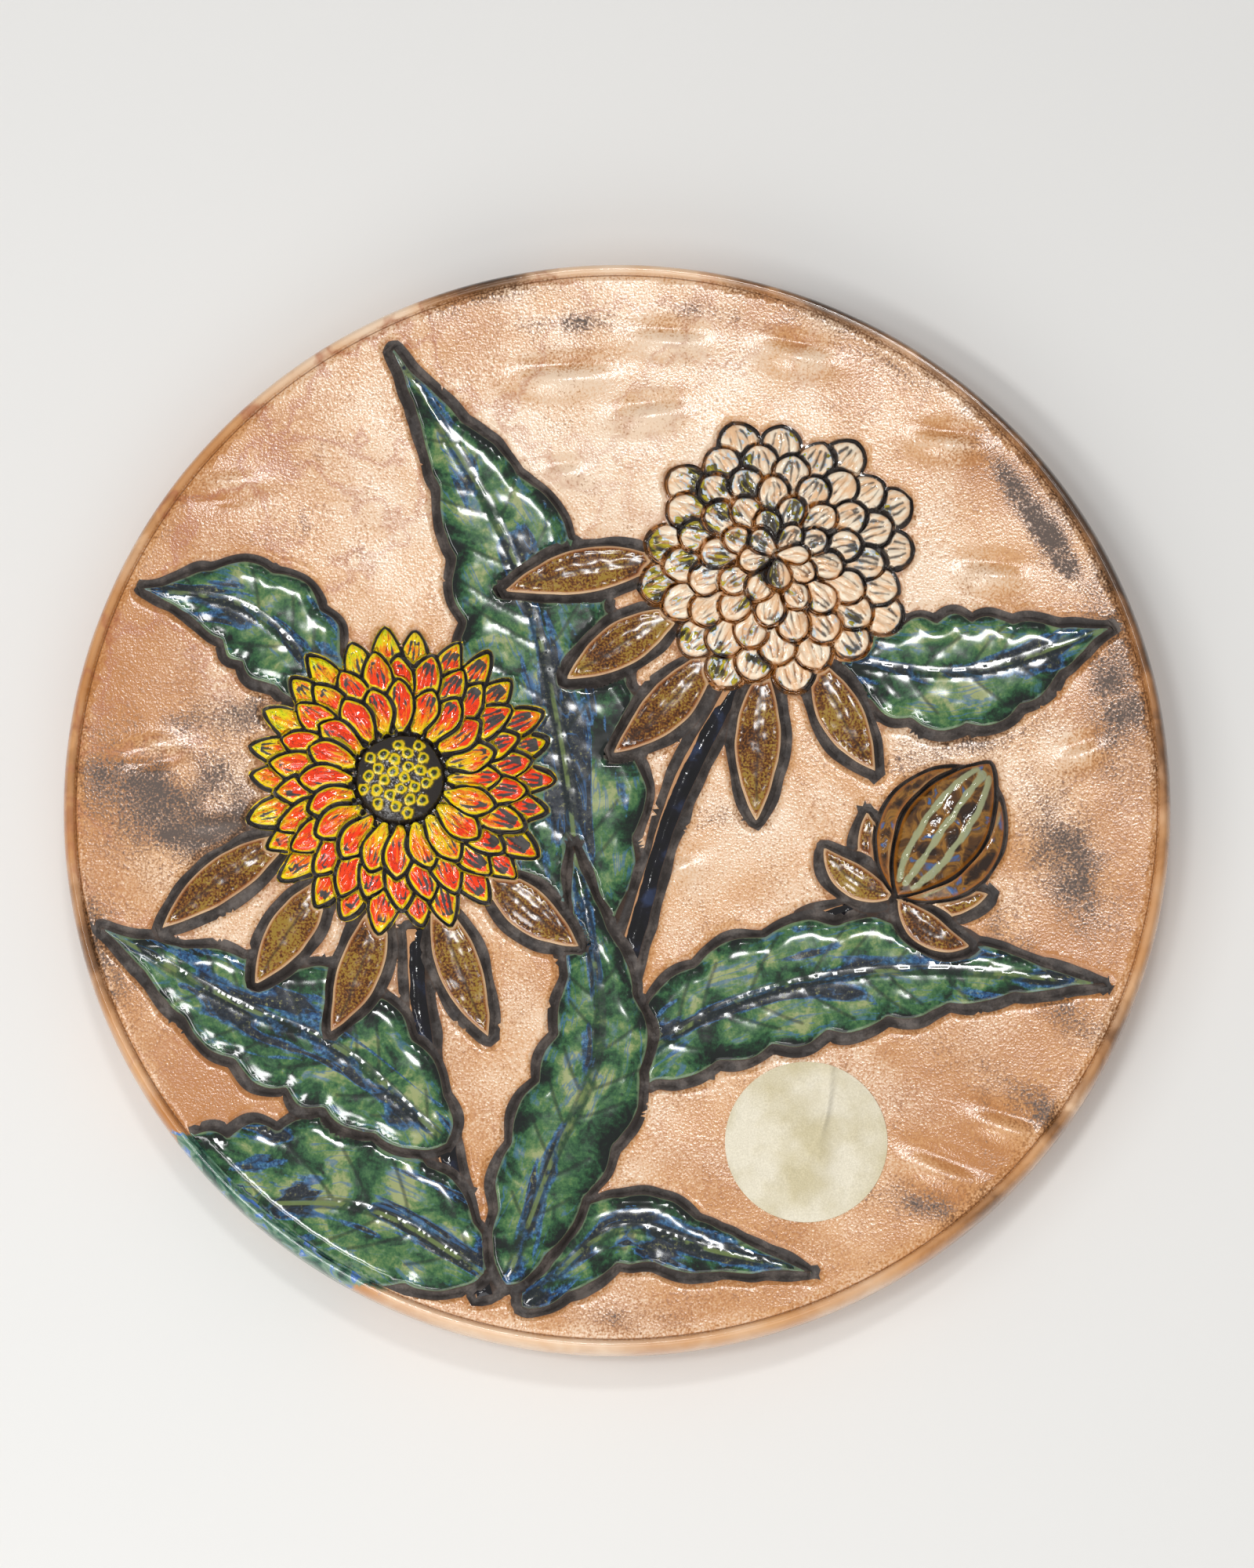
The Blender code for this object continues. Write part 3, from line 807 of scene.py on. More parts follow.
@dataclass(frozen=True)
class Ground:
    """The plain clay behind the picture, with its finger marks, what firing left on the glaze, and painted
    light: a pale painted glare and painted highlights and shade at the marks.
    """

    marks: tuple[Blot, ...] = blots(
        (-0.10, 0.80, 21, 6.5, 4, 0.60),
        (0.10, 0.87, 16, 5.9, -3, 0.55),
        (0.06, 0.73, 15, 5.9, 8, 0.60),
        (0.62, 0.67, 15, 5.9, -8, 0.55),
        (0.70, 0.42, 13, 5.9, -5, 0.55),
        (0.34, 0.84, 16, 6.5, -12, 0.60),
        (-0.72, 0.60, 16, 5.9, 6, 0.35),
        (-0.86, 0.10, 14, 5.9, 2, 0.50),
        (-0.72, -0.05, 15, 5.9, -4, 0.50),
        (0.10, -0.13, 13, 5.2, 12, 0.35),
        (0.86, 0.08, 10, 5.2, 20, 0.35),
        (0.72, -0.62, 18, 6.5, -18, 0.45),
        (0.60, -0.70, 20, 6.5, -22, 0.40),
        (-0.10, 0.62, 9, 4.5, 5, 0.30),
    )
    soot: tuple[Blot, ...] = blots(
        (0.80, 0.50, 50, 9, -58, 1.0),
        (0.93, 0.20, 62, 18, -80, 0.90),
        (0.52, 0.82, 30, 6, -32, 0.50),
        (-0.10, 0.91, 24, 6, 3, 0.75),
        (0.16, 0.93, 26, 5, -6, 0.50),
        (-0.80, -0.02, 60, 34, -16, 0.95),
        (-0.72, 0.16, 46, 14, 12, 0.60),
        (-0.96, -0.26, 40, 18, -66, 0.70),
        (0.84, -0.12, 46, 20, -64, 0.85),
        (0.62, 0.10, 46, 12, 12, 0.60),
        (0.72, -0.24, 30, 12, -70, 0.50),
        (0.08, 0.13, 22, 9, 50, 0.55),
        (0.20, -0.03, 20, 8, 0, 0.45),
        (0.80, -0.60, 60, 12, -34, 0.62),
        (0.56, -0.76, 44, 9, -20, 0.58),
        (0.86, -0.42, 36, 12, -36, 0.55),
        (-0.62, 0.52, 18, 9, 15, 0.40),
        (-0.17, 0.28, 14, 8, 60, 0.45),
        (0.02, -0.96, 26, 6, 0, 0.50),
    )
    # A large pale patch high on the ground, right of the middle: a painted glare, paler glaze laid where
    # the glare light reflects
    pale: Blot = Blot(0.22, 0.70, 210 * MM, 100 * MM, -14, 0.5)
    rim_soot: tuple[tuple[float, float, float], ...] = (
        (34, 34, 1.0), (66, 14, 0.9), (104, 7, 0.9), (5, 12, 0.7), (-25, 10, 0.5), (-48, 8, 0.5),
        (150, 8, 0.3),
    )
    mark_depth: float = 1.6 * MM
    dent_depth: float = 0.16 * MM
    swell_depth: float = 0.06 * MM
    dent_drift: Drift = Drift(24 * MM, 3)
    swell_drift: Drift = Drift(9 * MM, 4)
    rust_drift: Drift = Drift(26 * MM, 5)
    rust_detail: Drift = Drift(8 * MM, 6)

    def height(self, points: Array) -> Array:
        """Height of the hand-worked ground over the plain dish."""
        height = self.dent_depth * self.dent_drift.at(points)
        height += self.swell_depth * self.swell_drift.at(points)
        for mark in self.marks:
            height += self.mark_depth * (mark.weight(points) - 0.9 * self.beside(mark).weight(points))
        return height

    def beside(self, mark: Blot) -> Blot:
        """The cut along a finger mark, over it at the right and under it at the left."""
        rise = math.copysign(0.62 * mark.width / FIELD_RADIUS, mark.x + 0.2)
        return Blot(mark.x, mark.y + rise, 0.9 * mark.length, 0.62 * mark.width, mark.turn, mark.strength)

    def soot_at(self, points: Array) -> Array:
        """Share of dark grains in the glaze.

        Args:
            points: Flat points.

        Returns:
            Shares from 0 to 1.
        """
        total = np.zeros(len(points))
        for blot in self.soot:
            total = np.maximum(total, blot.weight(points))
        total *= 1 + 0.5 * self.rust_detail.at(points)
        degrees = np.degrees(np.arctan2(points[:, 1], points[:, 0]))
        radius = length_of(points)
        band = np.clip((radius - 0.955 * FIELD_RADIUS) / (0.05 * FIELD_RADIUS), 0, 1)
        band *= 0.75 + 0.6 * np.clip((radius - PLATE_RADIUS) / (3.5 * MM) + 1, 0, 1)
        for middle, spread, strength in self.rim_soot:
            turn = (degrees - middle + 180) % 360 - 180
            total = np.maximum(total, band * strength * np.exp(-(turn / spread) ** 2))
        return np.clip(total, 0, 1)

    def rust_and_painted_light_at(self, points: Array) -> Array:
        """Share of orange-brown grains in the glaze, more towards the rim, with painted light laid in at
        the glare and the finger marks.

        Args:
            points: Flat points.

        Returns:
            Shares, below 0 where the glaze is palest.
        """
        radius = length_of(points) / FIELD_RADIUS
        share = 0.22 + 0.30 * self.rust_drift.at(points) + 0.16 * self.rust_detail.at(points)
        sides = 0.6 + 0.4 * (points[:, 0] / FIELD_RADIUS) ** 2
        outwards, at_rim = np.clip((radius - 0.70) / 0.22, 0, 1), np.clip((radius - 0.97) / 0.03, 0, 1)
        share += 0.55 * sides * outwards - 0.35 * at_rim
        # Less orange-brown under the pale patch: painted glare
        share -= self.pale.weight(points)
        # Each finger mark: brown along its cut, partly thin glaze and partly painted shade, and paler on
        # the mark itself as a painted highlight
        for mark in self.marks:
            share += 0.55 * self.beside(mark).weight(points) - 1.0 * mark.weight(points)
        return np.clip(share, -0.6, 1)


class Surface:
    """Height, zone and pattern coordinates of a set of face points. Coordinates are in millimetres."""

    NAMES = ("edge", "along", "across", "share", "right", "up", "crease", "tint")

    def __init__(self, height: Array) -> None:
        """Start from the bare ground's height at each point."""
        self.height = height
        self.zone = np.full(len(height), Zone.GROUND.value)
        self.edge, self.crease = np.full((2, len(height)), FAR)
        self.along, self.across, self.share, self.right, self.up, self.tint = np.zeros((6, len(height)))


@dataclass(frozen=True)
class Relief:
    """The carved face as one height field, and the mesh laid along its lines."""

    figures: list[Figure]
    ground: Ground
    rim_fade: float = 3.0 * MM
    groove_wobble: float = 0.28
    closest: float = 0.42 * MM
    ring_sides: int = 300
    width_drift: Drift = Drift(7 * MM, 21)
    glaze_drift: Drift = Drift(3.5 * MM, 22)
    tool_drift: Drift = Drift(1.3 * MM, 23)

    def groove_width(self, figure: Figure, points: Array) -> Array:
        """Width of a figure's groove, which varies as the tool was pressed."""
        return figure.groove * (1 + self.groove_wobble * self.width_drift.at(points))

    def lay(self, figure: Figure, points: Array, surface: Surface) -> None:
        """Lay one figure over the surface made so far and cut its groove.

        Args:
            figure: The figure.
            points: The face points.
            surface: What lies behind the figure, changed in place.
        """
        near = near_box(points, figure.outline, figure.groove * (1 + self.groove_wobble) + 3 * MM)
        if not len(near):
            return
        local = points[near]
        distance = signed_distance(local, figure.outline)
        groove = self.groove_width(figure, local)
        inside = distance > -TOUCH
        cut = ~inside & (distance > TOUCH - groove)
        beyond = ~inside & ~cut
        behind = surface.height[near]
        base = figure.base(local)
        share = np.clip(-distance / groove, 0, 1)
        bottom = np.minimum(base - figure.depth, behind)
        inner_wall = (base + figure.step - bottom) * np.clip(1 - 3 * share, 0, 1)
        outer_wall = (behind - bottom) * np.clip(3 * share - 2, 0, 1)
        tool_marks = 0.10 * MM * self.tool_drift.at(local) * np.sin(np.pi * share)
        surface.height[near] = np.where(cut, bottom + inner_wall + outer_wall + tool_marks, behind)
        depth = np.minimum(-distance, groove + distance)[cut] / MM
        trench = near[cut]
        if figure.bloom is None:
            surface.zone[trench] = Zone.CLAY.value
            surface.edge[trench] = depth
        else:
            surface.zone[trench] = figure.zone.value
            surface.edge[trench] = -depth
            surface.tint[trench] = figure.tint
            surface.crease[trench] = FAR
            self.place_in_bloom(figure.bloom, trench, local[cut], surface)
        rest = near[beyond]
        surface.edge[rest] = np.minimum(surface.edge[rest], (-distance - groove)[beyond] / MM)
        body = near[inside]
        if not len(body):
            return
        spots, depth = local[inside], np.maximum(distance[inside], 0)
        along, across = follow(spots, figure.spine)
        swell = 0.05 * MM * self.glaze_drift.at(spots)
        surface.height[body] = figure.surface(spots, depth) + swell * np.clip(depth / MM, 0, 1)
        surface.zone[body] = figure.zone.value
        surface.edge[body] = depth / MM
        surface.along[body] = along / MM
        surface.across[body] = across / MM
        surface.crease[body] = figure.crease_gap(spots) / MM
        surface.tint[body] = figure.tint
        if figure.bloom is None:
            surface.share[body] = along / max(length_of(np.diff(figure.spine, axis=0)).sum(), MM)
        else:
            self.place_in_bloom(figure.bloom, body, spots, surface)

    def place_in_bloom(self, bloom: Bloom, numbers: Array, spots: Array, surface: Surface) -> None:
        """Store where points lie in their bloom, as shares of its reach."""
        surface.share[numbers] = bloom.share(spots)
        surface.right[numbers], surface.up[numbers] = ((spots - bloom.middle) / bloom.reach).T

    def measure(self, points: Array) -> Surface:
        """Height, zone and pattern coordinates at each face point.

        Args:
            points: Flat points.

        Returns:
            What the face is like there.
        """
        surface = Surface(self.ground.height(points))
        for figure in self.figures:
            self.lay(figure, points, surface)
        radius = length_of(points)
        surface.height *= np.clip((FACE_RADIUS - radius) / self.rim_fade, 0, 1)
        seat = length_of(points - STICKER_MIDDLE) - STICKER_RADIUS - STICKER_MARGIN
        surface.height = np.minimum(surface.height, np.maximum(seat, 0))
        return surface

    def below_top(self, heights: Array) -> Array:
        """Heights with the last bit under the plate's true depth pressed together, none beyond it.

        Args:
            heights: Heights over the wall.

        Returns:
            The pressed heights.
        """
        top = -PLATE_BOX[0].y - 0.02 * MM
        room = 0.7 * MM
        over = np.maximum(heights - (top - room), 0)
        return np.where(over > 0, top - room * np.exp(-over / room), heights)

    def offset(self, figure: Figure, outline: Array, share: float) -> tuple[Array, Array]:
        """The outline moved outwards by a share of the groove, or inwards where it is negative.

        Args:
            figure: The figure.
            outline: Its outline's points.
            share: How far, as a share of the groove's width.

        Returns:
            The moved points, and which of them are clear of the rest of the outline.
        """
        distance = share * self.groove_width(figure, outline)
        moved = moved_out(outline, distance)
        clear = np.abs(signed_distance(moved, outline)) > 0.85 * np.abs(distance)
        return moved, clear

    def chains(self) -> list[tuple[int, Array, Array]]:
        """Lines that mesh edges follow, the most telling ones first.

        Returns:
            For each line the figure's number, its points, and which of them to keep.
        """
        outlines, lips, drawn = [], [], []
        for index, figure in enumerate(self.figures):
            spacing = 0.95 * SPACING[figure.zone]
            outline = resample(closed(figure.outline), spacing)[:-1]
            outlines.append((index, outline, np.ones(len(outline), bool)))
            lips.append((index, *self.offset(figure, outline, 1.0)))
            lips.append((index, *self.offset(figure, outline, 0.5)))
            if figure.bead > 0.2 * MM:
                lips.append((index, *self.offset(figure, outline, -0.27)))
            for line in figure.lines:
                path = resample(line.path, spacing)
                drawn.append((index, path, signed_distance(path, figure.outline) > 0.5 * MM))
        return [(index, closed(points), np.append(keep, keep[0]))
                for index, points, keep in outlines + lips] + drawn

    def hidden(self, index: int, points: Array) -> Array:
        """Which points of a figure's line lie under a figure in front, or at the rim.

        Args:
            index: The figure's number.
            points: Points of the line.

        Returns:
            True where covered.
        """
        covered = length_of(points) > FACE_RADIUS - 0.5 * MM
        for front in self.figures[index + 1:]:
            near = near_box(points, front.outline, front.groove * (1 + self.groove_wobble))
            if len(near):
                distance = signed_distance(points[near], front.outline)
                covered[near] |= distance > -self.groove_width(front, points[near]) - 0.5 * self.closest
        return covered

    def face_points(self) -> tuple[list[Pair], list[tuple[int, int]]]:
        """Points of the face, and the edges that its triangles must follow.

        Returns:
            The points, and the edges as pairs of their numbers.
        """
        turns = np.arange(self.ring_sides) * 2 * math.pi / self.ring_sides
        points = [(FACE_RADIUS * math.cos(turn), FACE_RADIUS * math.sin(turn)) for turn in turns]
        edges = [(side, (side + 1) % self.ring_sides) for side in range(self.ring_sides)]
        cell = 0.8 * MM
        cells: dict[tuple[int, int], list[Pair]] = {}

        def add(x: float, y: float, spacing: float) -> int | None:
            """Number of a new point, or None where another is closer than the spacing."""
            column, row = int(x // cell), int(y // cell)
            reach = int(spacing / cell) + 1
            for near_row in range(row - reach, row + reach + 1):
                for near_column in range(column - reach, column + reach + 1):
                    for old_x, old_y in cells.get((near_column, near_row), ()):
                        if (x - old_x) ** 2 + (y - old_y) ** 2 < spacing * spacing:
                            return None
            cells.setdefault((column, row), []).append((x, y))
            points.append((x, y))
            return len(points) - 1

        for x, y in list(points):
            cells.setdefault((int(x // cell), int(y // cell)), []).append((x, y))
        for index, chain, keep in self.chains():
            shown = keep & ~self.hidden(index, chain)
            last = None
            for (x, y), kept in zip(chain.tolist(), shown):
                number = add(x, y, self.closest) if kept else None
                if number is not None and last is not None:
                    edges.append((last, number))
                last = number
        LOG.info("face: %d points on carved lines", len(points))
        zones, step = self.zone_map()
        for zone, spacing in SPACING.items():
            rows, columns = self.hex_grid(spacing)
            grid = np.column_stack([columns + 0.5 * (rows % 2), rows * math.sqrt(3) / 2]) * spacing
            grid = grid[length_of(grid) < FACE_RADIUS - 0.5 * spacing]
            cell_x, cell_y = np.rint((grid + FACE_RADIUS) / step).astype(int).T
            grid = grid[zones[cell_y, cell_x] == zone.value]
            for x, y in grid.tolist():
                add(x, y, 0.62 * spacing)
            LOG.info("face: %d points after %s", len(points), zone.name.lower())
        return points, edges

    def hex_grid(self, spacing: float) -> tuple[Array, Array]:
        """Row and column numbers of a grid of triangles over the face."""
        steps = int(FACE_RADIUS / (spacing * math.sqrt(3) / 2)) + 1
        rows, columns = np.mgrid[-steps:steps + 1, -steps:steps + 1].reshape(2, -1)
        return rows, columns

    def zone_map(self) -> tuple[Array, float]:
        """Zone numbers on a square grid over the face, and the grid's step."""
        step = 0.7 * MM
        count = int(2 * FACE_RADIUS / step) + 2
        rows, columns = np.mgrid[0:count, 0:count].reshape(2, -1)
        spots = np.column_stack([columns, rows]) * step - FACE_RADIUS
        return self.measure(spots).zone.reshape(count, count), step

    def face_mesh(self, materials: list[Material]) -> Object:
        """The carved field as an open mesh, with its zones and pattern coordinates.

        Args:
            materials: The finishes, in the order of the zones.

        Returns:
            The mesh as an object.
        """
        points, edges = self.face_points()
        flat = [Vector(point) for point in points]
        corners, _, faces, _, _, _ = delaunay_2d_cdt(flat, edges, [], 0, 0.001 * MM)
        spots = np.array([tuple(corner) for corner in corners])
        surface = self.measure(spots)
        heights = self.below_top(field_height(length_of(spots)) + surface.height)
        triangles = np.array(faces)
        middles = spots[triangles].mean(axis=1)
        zones = self.measure(middles).zone
        mesh = bpy.data.meshes.new("plate_face")
        mesh.from_pydata(np.column_stack([spots, heights]).tolist(), [], triangles.tolist())
        for material in materials:
            mesh.materials.append(material)
        mesh.polygons.foreach_set("material_index", zones.astype(np.int32))
        for name in Surface.NAMES:
            store(mesh, name, getattr(surface, name))
        mesh.update()
        made = bpy.data.objects.new("plate_face", mesh)
        bpy.context.collection.objects.link(made)
        LOG.info("face: %d triangles", len(triangles))
        return made


def linear(colour: str) -> tuple[float, float, float, float]:
    """A colour written as sRGB hex, as the linear values that a shader takes."""
    shares = [int(colour[start:start + 2], 16) / 255 for start in (1, 3, 5)]
    values = [share / 12.92 if share <= 0.04045 else ((share + 0.055) / 1.055) ** 2.4 for share in shares]
    return values[0], values[1], values[2], 1.0


def add_node(tree: NodeTree, kind: str, inputs: dict | tuple = (), output: str | None = None,
             stops: list[tuple[float, str]] | None = None, **settings: object) -> NodeSocket:
    """Add one node with its settings and links.

    Args:
        tree: The material's node tree.
        kind: Node type without its ShaderNode prefix.
        inputs: The sockets, values or hex colours that its inputs take, by their names or in the
            order of those in use.
        output: Name of the output to return, the first one in use if not given.
        stops: Places and hex colours of a ramp.
        **settings: Properties of the node.

    Returns:
        The node's output socket.
    """
    node = tree.nodes.new("ShaderNode" + kind)
    for name, value in settings.items():
        setattr(node, name, value)
    if isinstance(inputs, tuple):
        taken = list(zip((socket for socket in node.inputs if socket.enabled), inputs))
    else:
        taken = [(node.inputs[name], value) for name, value in inputs.items()]
    for socket, value in taken:
        if isinstance(value, NodeSocket):
            tree.links.new(value, socket)
        else:
            socket.default_value = linear(value) if isinstance(value, str) else value
    for number, (position, colour) in enumerate(stops or []):
        if number < len(node.color_ramp.elements):
            element = node.color_ramp.elements[number]
            element.position = position
        else:
            element = node.color_ramp.elements.new(position)
        element.color = linear(colour)
    if output is None:
        return next(socket for socket in node.outputs if socket.enabled)
    return node.outputs[output]


def lay_over(add: AddNode, colour: NodeSocket, *layers: tuple[NodeSocket, NodeSocket | str]) -> NodeSocket:
    """Lay colours over one another.

    Args:
        add: Adds one node to the material.
        colour: The lowest one.
        *layers: Where each next one shows, and its colour.

    Returns:
        The colour that is seen.
    """
    for share, over in layers:
        colour = add("Mix", (share, colour, over), data_type="RGBA")
    return colour


@dataclass(frozen=True)
class Finish:
    """One finish of the plate. A subclass paints its colour, roughness and fine surface."""

    name: str = "finish"
    roughness: float = 0.5
    ior: float = 1.5
    metallic: float = 0.0

    def material(self) -> Material:
        """The finish as a Principled material."""
        made = bpy.data.materials.new(self.name)
        made.use_nodes = True
        shader = made.node_tree.nodes["Principled BSDF"]
        shader.inputs["Roughness"].default_value = self.roughness
        shader.inputs["Metallic"].default_value = self.metallic
        shader.inputs["IOR"].default_value = self.ior
        add = partial(add_node, made.node_tree)
        for name, socket in self.paint(add, add("TexCoord", output="Object")).items():
            made.node_tree.links.new(socket, shader.inputs[name])
        return made

    def paint(self, add: AddNode, spot: NodeSocket) -> Sockets:
        """The paintwork itself.

        Args:
            add: Adds one node to the material.
            spot: Place on the plate, in metres.

        Returns:
            Sockets for the shader's inputs, by input name.
        """
        raise NotImplementedError

    def lane(self, add: AddNode, stretch: float, apart: float = 40.0) -> NodeSocket:
        """Pattern place that runs along a figure, drawn out along it and its own for each tint.

        Args:
            add: Adds one node to the material.
            stretch: Scale along the figure.
            apart: Distance between two tints' patterns.

        Returns:
            The place.
        """
        along, across, tint = (
            add("Attribute", output="Fac", attribute_name=name) for name in ("along", "across", "tint"))
        length = add("Math", (along, stretch), operation="MULTIPLY")
        row = add("Math", (tint, apart), operation="MULTIPLY")
        return add("CombineXYZ", (across, length, row))


@dataclass(frozen=True)
class PeachGlaze(Finish):
    """Satin stoneware glaze over brown clay: fine pale and orange-brown grains, sooty where fired hot."""

    name: str = "satin_peach_stoneware_glaze"
    ior: float = 1.64
    pale: str = "#F3D6B8"
    peach: str = "#DDA772"
    rust: str = "#B97638"
    smoke: str = "#8E6038"
    soot: str = "#3A2616"
    vein: str = "#B46E4A"
    halo: str = "#A56C3E"
    line: str = "#7E5534"
    green: str = "#3F6F58"
    blue: str = "#3F74C4"

    def paint(self, add: AddNode, spot: NodeSocket) -> Sockets:
        """Grains of three colours by the marks of firing and by painted light at the glare and finger
        marks, halos beside the carving, run-over glaze.
        """
        edge, soot, rust, veins, runover, on_rim, incised = (
            add("Attribute", output="Fac", attribute_name=name)
            for name in ("edge", "soot", "rust", "veins", "runover", "rim", "line"))
        # The glaze's grains are about 0.4 mm, drawn a little coarser so that they show
        grain = add("TexNoise", {"Vector": spot, "Scale": 1 / (0.6 * MM), "Detail": 1.0})
        grain = add("Mix", (on_rim, grain, 0.5))
        clot = add("TexNoise", {"Vector": spot, "Scale": 1 / (1.3 * MM), "Detail": 3.0})
        cloud = add("TexNoise", {"Vector": spot, "Scale": 1 / (24 * MM), "Detail": 3.0, "Distortion": 0.6})
        drift = add("TexNoise", {"Vector": spot, "Scale": 1 / (9 * MM), "Detail": 3.0, "Distortion": 0.8})
        depth = add("Math", (grain, 0.9, cloud), operation="MULTIPLY_ADD")
        # The orange-brown share also carries painted light: low under the painted glare and on the finger
        # marks (painted highlight), high along their cuts (painted shade)
        depth = add("Math", (rust, 0.45, depth), operation="MULTIPLY_ADD")
        depth = add("MapRange", (depth, 0.74, 1.16))
        colour = add("Mix", (depth, self.pale, self.peach), data_type="RGBA")
        rust_and_painted_light_mask = add("Math", (drift, 0.5, rust), operation="MULTIPLY_ADD")
        rust_and_painted_light_mask = add("Math", (grain, 1.5, rust_and_painted_light_mask), operation="MULTIPLY_ADD")
        rust_and_painted_light_mask = add("MapRange", (rust_and_painted_light_mask, 1.12, 1.72, 0.0, 0.9))
        warp = add("TexNoise", {"Vector": spot, "Scale": 1 / (10 * MM), "Detail": 3.0}, output="Color")
        warped = add("VectorMath", (warp, (26 * MM, 26 * MM, 26 * MM), spot), operation="MULTIPLY_ADD")
        cells = add("TexVoronoi", {"Vector": warped, "Scale": 1 / (34 * MM)}, feature="DISTANCE_TO_EDGE")
        line = add("MapRange", (cells, 0.0, 0.06, 1.5, 0.0))
        line = add("Math", (line, veins), operation="MULTIPLY")
        line = add("Math", (line, grain), operation="MULTIPLY", use_clamp=True)
        width = add("MapRange", (clot, 0.35, 0.65, 0.15, 1.2))
        beside = add("Math", (edge, width), operation="DIVIDE")
        beside = add("MapRange", (beside, 0.0, 1.0, 0.8, 0.0), **EASED)
        incised = add("MapRange", (incised, 0.3, 1.0, 0.0, 0.8))
        sooty = add("Math", (drift, 0.9, soot), operation="MULTIPLY_ADD")
        sooty = add("Math", (grain, 1.7, sooty), operation="MULTIPLY_ADD")
        smoky = add("MapRange", (sooty, 1.50, 1.98, 0.0, 0.85))
        burnt = add("MapRange", (sooty, 1.88, 2.30, 0.0, 0.92))
        streak = add("TexNoise", {"Vector": spot, "Scale": 1 / (6 * MM), "Detail": 4.0, "Distortion": 1.2})
        over = add("Math", (streak, 0.9, runover), operation="MULTIPLY_ADD")
        glaze = add("ValToRGB", (streak,), stops=[
            (0.36, "#1D3F38"), (0.48, self.green), (0.58, "#7C9A82"), (0.64, self.blue), (0.72, "#A9BFD6")])
        over = add("MapRange", (over, 0.78, 0.92), **EASED)
        gloss = add("MapRange", (grain, 0.35, 0.65, 0.15, 0.24))
        gloss = add("Mix", (burnt, gloss, 0.45))
        gloss = add("Mix", (on_rim, gloss, 0.09))
        gloss = add("Mix", (over, gloss, 0.12))
        lumps = add("Math", (clot, 0.4, grain), operation="MULTIPLY_ADD")
        lip = add("MapRange", (edge, 0.0, 1.3, 0.0, 6.0), **EASED)
        lumps = add("Math", (lip, lumps), operation="ADD")
        normal = add("Bump", {"Height": lumps, "Distance": 0.05 * MM})
        colour = lay_over(add, colour, (rust_and_painted_light_mask, self.rust), (line, self.vein), (beside, self.halo),
                          (incised, self.line), (smoky, self.smoke), (burnt, self.soot), (over, glaze))
        return {"Base Color": colour, "Roughness": gloss, "Normal": normal}


@dataclass(frozen=True)
class CharcoalClay(Finish):
    """Bare clay under a dry black resist, cut with a loop tool: matt, faintly brown and dusty."""

    name: str = "bare_charcoal_clay"
    roughness: float = 0.60
    ior: float = 1.45
    dark: str = "#3A3431"
    middle: str = "#4C4541"
    dusty: str = "#665D57"
    brown: str = "#4E3A2E"

    def paint(self, add: AddNode, spot: NodeSocket) -> Sockets:
        """Dark grains with paler dust, browner at the edges of the glaze."""
        edge = add("Attribute", output="Fac", attribute_name="edge")
        grain = add("TexNoise", {"Vector": spot, "Scale": 1 / (0.6 * MM)})
        cloud = add("TexNoise", {"Vector": spot, "Scale": 1 / (5 * MM), "Detail": 3.0})
        mixed = add("Math", (grain, 0.3, cloud), operation="MULTIPLY_ADD")
        colour = add("ValToRGB", (mixed,), stops=[
            (0.55, self.dark), (0.68, self.middle), (0.82, self.dusty)])
        rim = add("MapRange", (edge, 0.0, 0.35, 0.7, 0.0))
        colour = add("Mix", (rim, colour, self.brown), data_type="RGBA")
        normal = add("Bump", {"Height": grain, "Distance": 0.08 * MM})
        return {"Base Color": colour, "Normal": normal}


